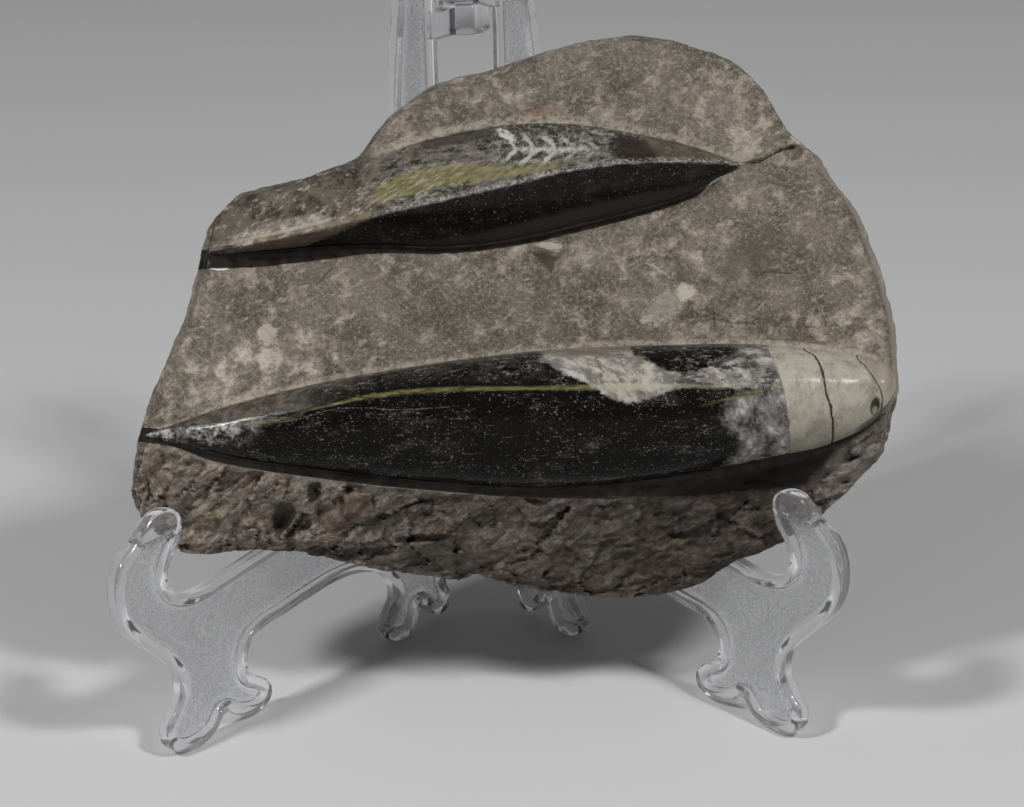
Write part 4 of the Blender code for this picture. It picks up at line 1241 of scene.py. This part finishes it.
    # white and grey calcite on top, mixed with black further right
    shore = paint.curve(a, (
        (4.0, 10.6), (7.3, 9.2), (11.9, 7.0), (17.4, 4.6), (20.9, 2.4), (27.3, 0.4), (33.5, 1.8),
        (37.1, 3.1), (43.9, 4.2), (49.0, 3.8), (64.0, 3.2),
    ))
    patch = (b - shore + jitter * 0.5 + sway * 0.5).step(-0.5, 0.5) * (a + jitter).step(6.0, 8.0)
    ceiling = paint.curve(a, (
        (26.0, 13.4), (27.3, 12.2), (30.6, 10.2), (33.0, 8.9), (35.0, 7.8), (41.0, 7.3), (45.0, 8.2),
        (47.0, 10.0), (51.4, 11.4), (54.0, 13.2),
    ))
    hole = (b - ceiling + jitter * 0.6 + sway * 0.4).step(-0.6, 0.6) * (a + sway).within(27.5, 52.5, 0.8)
    mingled = (a + (b - 4.0) * -0.6 + sway * 3.0).step(32.0, 42.0)
    crystal = paint.noise(3.4, 5.0, 0.68, place=paint.stretched(-35.0, 1.8))
    calcite = paint.mix((0.150, 0.139, 0.122), (0.37, 0.35, 0.31), crystal.step(0.40, 0.60))
    glint = paint.noise(1.3, 3.0, 0.7, place=paint.stretched(-50.0, 1.8, 3.0))
    calcite = paint.mix(calcite, (0.55, 0.53, 0.49), glint.step(0.57, 0.66) * 0.35)
    calcite = paint.mix(calcite, (0.085, 0.075, 0.062), (1.0 - glint.step(0.37, 0.44)) * 0.35)
    for seam, width, amount in (
        (((2.5, 21.6), (5.4, 20.6), (8.8, 20.2), (12.6, 17.4)), 0.20, 0.8),
        (((6.5, 26.8), (9.4, 25.2), (12.8, 23.4)), 0.16, 0.7),
    ):
        dark = paint.stroke(seam, width, 0.8, (b, a + jitter * 0.8))
        calcite = paint.mix(calcite, (0.080, 0.068, 0.055), dark * amount)
    grey_rim = (b - upper + 3.2 + sway).step(0.0, 1.6) * (1.0 - a.step(26.0, 32.0))
    calcite = paint.mix(calcite, (0.13, 0.118, 0.100), grey_rim * 0.8)
    inky = paint.noise(2.6, 5.0, 0.78, place=paint.stretched(10.0, 2.4, 4.0))
    mixed = paint.mix(calcite, (0.020, 0.0185, 0.017), mingled * (1.0 - inky.step(0.45, 0.53)) * 0.9)
    colour = paint.mix(colour, mixed, patch * (1.0 - hole) * 0.97)
    beige_thick = paint.curve(a, ((18.0, 0.1), (24.0, 0.75), (36.0, 0.5), (62.0, 0.3)))
    beige = (beige_thick + jitter * 0.25 - abs(b - 3.9 + jitter * 0.1)).step(-0.4, 0.4)
    beige = beige * a.within(21.0, 64.0, 1.5) * (0.75 - mingled * 0.4)
    colour = paint.mix(colour, (0.36, 0.335, 0.25), beige)

    # the grey and white mixture before the last chambers
    left_side = paint.curve(b, (
        (-16.0, 50.0), (-13.0, 51.5), (-9.0, 52.2), (-5.0, 50.4), (-1.6, 49.4), (1.0, 50.6), (3.6, 53.0),
        (14.0, 50.0),
    ))
    medley = (a - left_side + sway * 1.6 + jitter * 1.8).step(-2.4, 2.4)
    stone = paint.noise(3.4, 6.0, 0.68, place=paint.stretched(-60.0, 1.3))
    marbled = paint.mix((0.036, 0.034, 0.031), (0.160, 0.152, 0.142), stone.step(0.36, 0.54))
    marbled = paint.mix(marbled, (0.44, 0.43, 0.41), stone.step(0.52, 0.68) * 0.9)
    hairs = paint.threads(3.4, 0.012, paint.stretched(-60.0, 1.6, 8.0))
    marbled = paint.mix(marbled, (0.30, 0.285, 0.25), hairs * 0.35)
    colour = paint.mix(colour, marbled, medley * (1.0 - patch * 0.6) * 0.95)
    second_line = paint.curve(a, ((43.0, -0.6), (47.0, 0.4), (52.0, 1.6), (57.4, 2.9)))
    width = paint.curve(a, ((42.0, 0.05), (50.0, 0.30), (58.0, 0.65)))
    second = (width + jitter * 0.12 - abs(b - second_line)).step(-0.35, 0.35) * a.within(43.5, 57.0, 1.5)
    colour = paint.mix(colour, mustard, second * 0.8)

    # the last chambers: cream, smudged, parted by dark lines
    first, middle, last = (paint.curve(b, sorted((y, x) for x, y in line)) for line in SEPTA)
    body = (a - first + jitter * 0.3).step(-0.4, 0.5)
    smudge = paint.noise(5.0, 6.0, 0.72, place=paint.stretched(70.0, 1.5))
    cream = paint.mix((0.225, 0.205, 0.165), (0.35, 0.325, 0.268), smudge.step(0.34, 0.58))
    smears = paint.noise(1.4, 5.0, 0.7, place=paint.stretched(80.0, 2.4, 2.0))
    cream = paint.mix(cream, (0.13, 0.105, 0.080), smears.step(0.55, 0.68) * 0.45)
    cream = paint.mix(cream, (0.45, 0.43, 0.38), glint.step(0.56, 0.66) * 0.4)
    cream = paint.mix(cream, (0.130, 0.122, 0.090), (1.0 - b.step(-13.0, 1.0)) * 0.5)
    colour = paint.mix(colour, cream, body * 0.97)
    tan = (a - last).step(-0.2, 0.8) * b.step(1.0, 4.0)
    colour = paint.mix(colour, (0.25, 0.21, 0.165), tan * 0.7)
    for septum, width, tint, amount in (
        (first, 0.22, (0.12, 0.085, 0.062), 0.5), (middle, 0.42, (0.018, 0.016, 0.014), 0.95),
        (last, 0.34, (0.040, 0.034, 0.027), 0.85),
    ):
        gap = abs(a - septum + jitter * 0.2)
        colour = paint.mix(colour, tint, (1.0 - gap.step(width * 0.3, width)) * amount)
    edge_line = (paint.curve(a, columns(LARGE_STATIONS, 3)) - b + 1.7).step(-0.4, 0.3) * a.step(78.0, 82.0)
    colour = paint.mix(colour, (0.05, 0.042, 0.034), edge_line * 0.8)
    # painted shade in the pit: dark, its lower part left lighter
    pit = paint.spot(PIT, PIT_SIZE, 0.5, -8.0)
    pit_shade = pit * (1.0 - paint.spot((84.2, -1.5), (0.7, 0.9), 0.7, -8.0) * 0.75)
    colour = paint.mix(colour, (0.022, 0.018, 0.014), pit_shade * 0.95)

    light_part = patch.most(body)
    rough = paint.mix(grey(0.10), grey(0.15), light_part)
    glossy_tip = (1.0 - abs(b - ridge - 0.6).step(1.0, 2.6)) * (1.0 - a.step(-58.0, -50.0))
    rough = paint.mix(rough, grey(0.42), skin * (1.0 - glossy_tip))
    bumps = ((crystal * patch, 0.08), (specks, 0.02), (paint.noise(14.0, 2.0), 0.4))
    return paint.finish(bumps, Base_Color=colour, Roughness=rough, Specular_IOR_Level=0.09)


def small_fossil():
    paint = Paint("veined_calcite", SLAB_ORIGIN, SLAB_AXES)
    a, b = paint.a, paint.b
    upper = paint.curve(a, columns(SMALL_STATIONS, 1))
    ridge = paint.curve(a, columns(SMALL_STATIONS, 2))
    jitter = paint.stir(1.3, 3.0, 0.65)
    sway = paint.stir(4.5, 3.0, 0.6)
    height = b - ridge

    # the upper side: grey brown, flecked and veined
    cloud = paint.noise(1.8, 6.0, 0.8, place=paint.stretched(14.0, 1.6))
    colour = paint.mix((0.020, 0.018, 0.016), (0.105, 0.094, 0.081), cloud.step(0.41, 0.52))
    colour = paint.mix(colour, (0.30, 0.28, 0.255), cloud.step(0.54, 0.64) * 0.8)
    mist = paint.noise(7.0, 3.0)
    colour = paint.mix(colour, (0.14, 0.127, 0.113), mist.step(0.48, 0.62) * 0.35)
    veins = paint.threads(6.0, 0.009, paint.stretched(8.0, 4.0)) * cloud.step(0.46, 0.54)
    colour = paint.mix(colour, (0.30, 0.285, 0.26), veins * 0.3)
    dark_rim = (height - (upper - ridge) * 0.80 + sway * 0.9).step(-0.6, 0.6) * a.within(-22.0, 10.0, 4.0)
    colour = paint.mix(colour, (0.040, 0.034, 0.028), dark_rim * 0.75)

    # the left end: polished brown rock with dark blotches
    left = 1.0 - (a + sway * 3.0).step(-36.0, -28.0)
    colour = paint.mix(colour, rocky_colour(paint, height), left * 0.97)

    # the herringbone of white walls, spine and branches
    spine = paint.curve(a, ((-4.0, 59.4), (4.0, 58.9), (12.0, 58.7), (20.0, 59.0), (24.0, 59.0)))
    off = b - spine + sway * 0.4 + jitter * 0.25
    chevron = a + abs(off) * 0.9 + jitter * 0.35 + sway * 0.6
    waves = (chevron * (2.0 * math.pi / 4.6)).sum("SINE") + jitter * 0.2 + sway * 0.15
    branch = waves.step(0.25, 1.05) * (1.0 - abs(off).step(2.2, 4.8))
    branch = branch * (1.0 - (a + sway).step(9.0, 16.0) * 0.6)
    stem = (0.50 + jitter * 0.3 - abs(off)).step(-0.45, 0.45) * a.within(0.5, 17.5, 2.5)
    extent = (a + sway * 1.5).within(-3.0, 20.5, 2.5) * (height - 2.6 + jitter * 0.3).step(0.0, 0.8)
    walls = branch.most(stem) * extent
    ovals = (1.0 - walls) * (a + sway).within(-1.0, 21.0, 2.5) * (height - 3.0).step(0.0, 0.8)
    colour = paint.mix(colour, (0.030, 0.027, 0.024), ovals * (1.0 - cloud.step(0.46, 0.60)) * 0.8)
    milk = paint.noise(1.2, 5.0, 0.78, place=paint.at(a, b, 12.0))
    colour = paint.mix(colour, (0.42, 0.405, 0.375), walls * (0.45 + milk.step(0.40, 0.56) * 0.45))
    knob = (paint.spot((-1.4, 62.6), (2.6, 1.1), 0.8, -30.0) + jitter * 0.6).step(0.35, 0.9)
    colour = paint.mix(colour, (0.50, 0.48, 0.44), knob * 0.8)
    curds = milk.step(0.51, 0.58) * (a + sway).within(-5.0, 31.0, 2.0) * (height - 2.0).step(0.0, 1.0)
    colour = paint.mix(colour, (0.34, 0.32, 0.29), curds * 0.4)

    # the mustard lens, feathered
    lens_top = paint.curve(a, (
        (-40.5, 43.0), (-35.0, 46.2), (-33.0, 48.4), (-28.4, 51.8), (-23.4, 54.2), (-12.3, 55.4),
        (-4.0, 55.2), (6.0, 55.4), (12.0, 55.6),
    ))
    lens_low = paint.curve(a, (
        (-40.5, 42.4), (-34.0, 44.6), (-27.9, 46.8), (-20.6, 48.6), (-12.3, 50.4), (-4.0, 51.4),
        (4.4, 53.0), (10.0, 54.2), (12.0, 55.0),
    ))
    feather = paint.noise(0.8, 4.0, 0.7, place=paint.stretched(36.0, 5.0))
    frayed = (feather - 0.5) * 7.0
    lens = (lens_top - b + frayed + jitter * 0.3).step(-0.6, 1.0)
    lens = lens * (b - lens_low + frayed * 0.5).step(-0.4, 0.6)
    lens = lens * (a + sway * 1.5).within(-33.0, 10.5, 3.5)
    mustard = paint.mix((0.110, 0.098, 0.040), (0.205, 0.186, 0.092), feather.step(0.38, 0.60))
    colour = paint.mix(colour, mustard, lens * (0.78 + jitter * 0.12))
    touch = paint.stroke(((-41.0, 41.2), (-36.0, 42.6), (-30.0, 43.8)), 0.5, 0.9)
    colour = paint.mix(colour, (0.22, 0.165, 0.075), touch * cloud.step(0.42, 0.54) * 0.55)
    strands = feather.step(0.56, 0.64) * (a + sway).within(-38.0, -12.0, 3.0) * (height - 0.5).step(0.0, 1.0)
    colour = paint.mix(colour, (0.36, 0.345, 0.30), strands * (1.0 - (height - 7.0).step(0.0, 3.0)) * 0.5)

    # right end: a dark patch, then smooth greenish grey
    dark_patch = paint.spot((28.6, 58.8), (6.4, 3.6), 0.8, -20.0) + jitter * 0.4 + sway * 0.25
    colour = paint.mix(colour, (0.020, 0.015, 0.012), dark_patch.step(0.3, 0.9) * 0.92)
    smooth = (a + sway * 0.8 + jitter * 0.7 + (b - 59.0) * 0.7).step(31.5, 34.5)
    tone = paint.noise(2.6, 5.0, 0.7).step(0.4, 0.6)
    greenish = paint.mix((0.060, 0.053, 0.040), (0.105, 0.094, 0.074), tone)
    colour = paint.mix(colour, greenish, smooth * (height - 0.6).step(-0.2, 0.4))
    speckled = paint.noise(0.65, 3.0, 0.8)
    crest = (1.0 - abs(height - 0.4).step(0.2, 1.2)) * (a + 34.0).step(0.0, 8.0)
    colour = paint.mix(colour, (0.33, 0.315, 0.29), crest * speckled.step(0.50, 0.58) * 0.8)

    # the steep lower side: jet black with tiny white specks
    blacker = paint.curve(a, (
        (-72.0, -1.6), (-58.0, -2.6), (-44.0, -1.9), (-34.0, -0.6), (-28.0, -0.1), (54.0, -0.1),
    ))
    night = (blacker - height + jitter * 0.3).step(-0.2, 0.5)
    speck = paint.noise(0.55, 3.0, 0.8, place=paint.at(a, b, 40.0))
    smoke = paint.noise(4.0, 4.0).step(0.48, 0.7)
    black = paint.mix((0.0055, 0.005, 0.0045), (0.026, 0.024, 0.022), smoke * 0.6)
    black = paint.mix(black, (0.28, 0.27, 0.25), speck.step(0.62, 0.70) * 0.8)
    low = paint.curve(a, columns(SMALL_STATIONS, 3))
    # a dark grey band at the foot of the lower side, the look of the shaded cove below it: partly painted
    # shadow
    hem = paint.curve(a, ((-72.0, 0.2), (-30.0, 0.8), (-10.0, 2.6), (20.0, 4.0), (38.0, 2.6), (53.0, 0.4)))
    cove_tone_and_shadow = (low + hem - b + jitter * 0.15).step(-0.8, 0.8)
    black = paint.mix(black, (0.030, 0.0265, 0.0235), cove_tone_and_shadow)
    colour = paint.mix(colour, black, night * 0.98)

    rough = paint.mix(grey(0.20), grey(0.11), night)
    bumps = ((cloud * left, 0.25), (cloud * (1.0 - night), 0.10), (speck, 0.02))
    return paint.finish(bumps, Base_Color=colour, Roughness=rough, Specular_IOR_Level=0.10)


def clear_plastic(side):
    paint = Paint("clear_plastic_" + ("left" if side < 0 else "right"), HINGE, wing_axes(side))
    from_mark = paint.distance_to(MARK_PLACE)
    web = paint.stored("web") * abs(from_mark - MARK_RADIUS).step(0.15, 0.5)
    grain = paint.noise(0.7, 3.0, 0.72)
    rough = web * (grain.step(0.42, 0.58) * 0.20 + 0.10) + 0.03
    return paint.finish(
        ((grain * web, 0.40),), Base_Color=(0.965, 0.97, 0.985), Roughness=rough, IOR=1.49,
        Transmission_Weight=0.96,
    )


# ---- the camera, the light and the floor --------------------------------------------------------

CAMERA_DISTANCE = 750.0
CAMERA_LENS = 112.85
AIM_HEIGHT = 0.08                  # the lamps look at a point this high, in metres
FLOOR_DROP = 0.3
FLOOR_SIZE = 4.0
SKY = 0.16
# Name, place in metres, size, power in watts
LAMPS = (
    ("left_lamp", (-0.87, -0.75, 1.12), 0.20, 14.5),
    ("right_lamp", (0.74, -0.90, 1.20), 0.20, 14.5),
)


def set_stage():
    data = bpy.data.cameras.new("camera")
    camera = bpy.data.objects.new("camera", data)
    bpy.context.scene.collection.objects.link(camera)
    back = SLAB_TILT @ Vector((0.0, 0.0, CAMERA_DISTANCE))
    camera.matrix_world = Matrix.Translation((SLAB_ORIGIN + back) * MM) @ SLAB_AXES.to_4x4()
    data.lens = CAMERA_LENS
    data.sensor_width = 36.0
    data.clip_start = 0.01
    bpy.context.scene.camera = camera

    paint = Paint("floor", (0.0, 0.0, 0.0), Matrix.Identity(3))
    cloud = paint.noise(300.0, 3.0)
    colour = paint.mix((0.56, 0.56, 0.565), (0.60, 0.60, 0.603), cloud)
    paint.finish(Base_Color=colour, Roughness=0.6)
    bm = bmesh.new()
    bmesh.ops.create_grid(bm, x_segments=8, y_segments=8, size=FLOOR_SIZE)
    mesh = bpy.data.meshes.new("floor")
    bm.to_mesh(mesh)
    bm.free()
    floor = bpy.data.objects.new("floor", mesh)
    floor.location = (0.0, 0.0, -FLOOR_DROP * MM)
    bpy.context.scene.collection.objects.link(floor)
    mesh.materials.append(paint.material)

    for name, place, size, power in LAMPS:
        light = bpy.data.lights.new(name, "AREA")
        light.size = size
        light.energy = power
        lamp = bpy.data.objects.new(name, light)
        lamp.location = place
        aim = Vector((0.0, 0.0, AIM_HEIGHT)) - Vector(place)
        lamp.rotation_euler = aim.to_track_quat("-Z", "Y").to_euler()
        bpy.context.scene.collection.objects.link(lamp)
    world = bpy.data.worlds.new("world")
    bpy.context.scene.world = world
    world.use_nodes = True
    sky = world.node_tree.nodes["Background"]
    sky.inputs["Color"].default_value = (1.0, 1.0, 1.0, 1.0)
    sky.inputs["Strength"].default_value = SKY
    bpy.context.scene.view_settings.view_transform = "Standard"


set_stage()
declare(mark_wear_and_shade(rock_piece(limestone()), 8), "matrix_slab")
declare(
    spindle_piece("orthoceras_large", LARGE_STATIONS, LARGE_BED, pitched_tip, large_detail, large_fossil()),
    "large_orthoceras",
)
declare(
    spindle_piece("orthoceras_small", SMALL_STATIONS, SMALL_BED, np.ones_like, small_detail, small_fossil()),
    "small_orthoceras",
)
declare(wing_piece("stand_wing_left", -1, False, clear_plastic(-1)), "stand_left_wing")
declare(wing_piece("stand_wing_right", 1, True, clear_plastic(1)), "stand_right_wing")
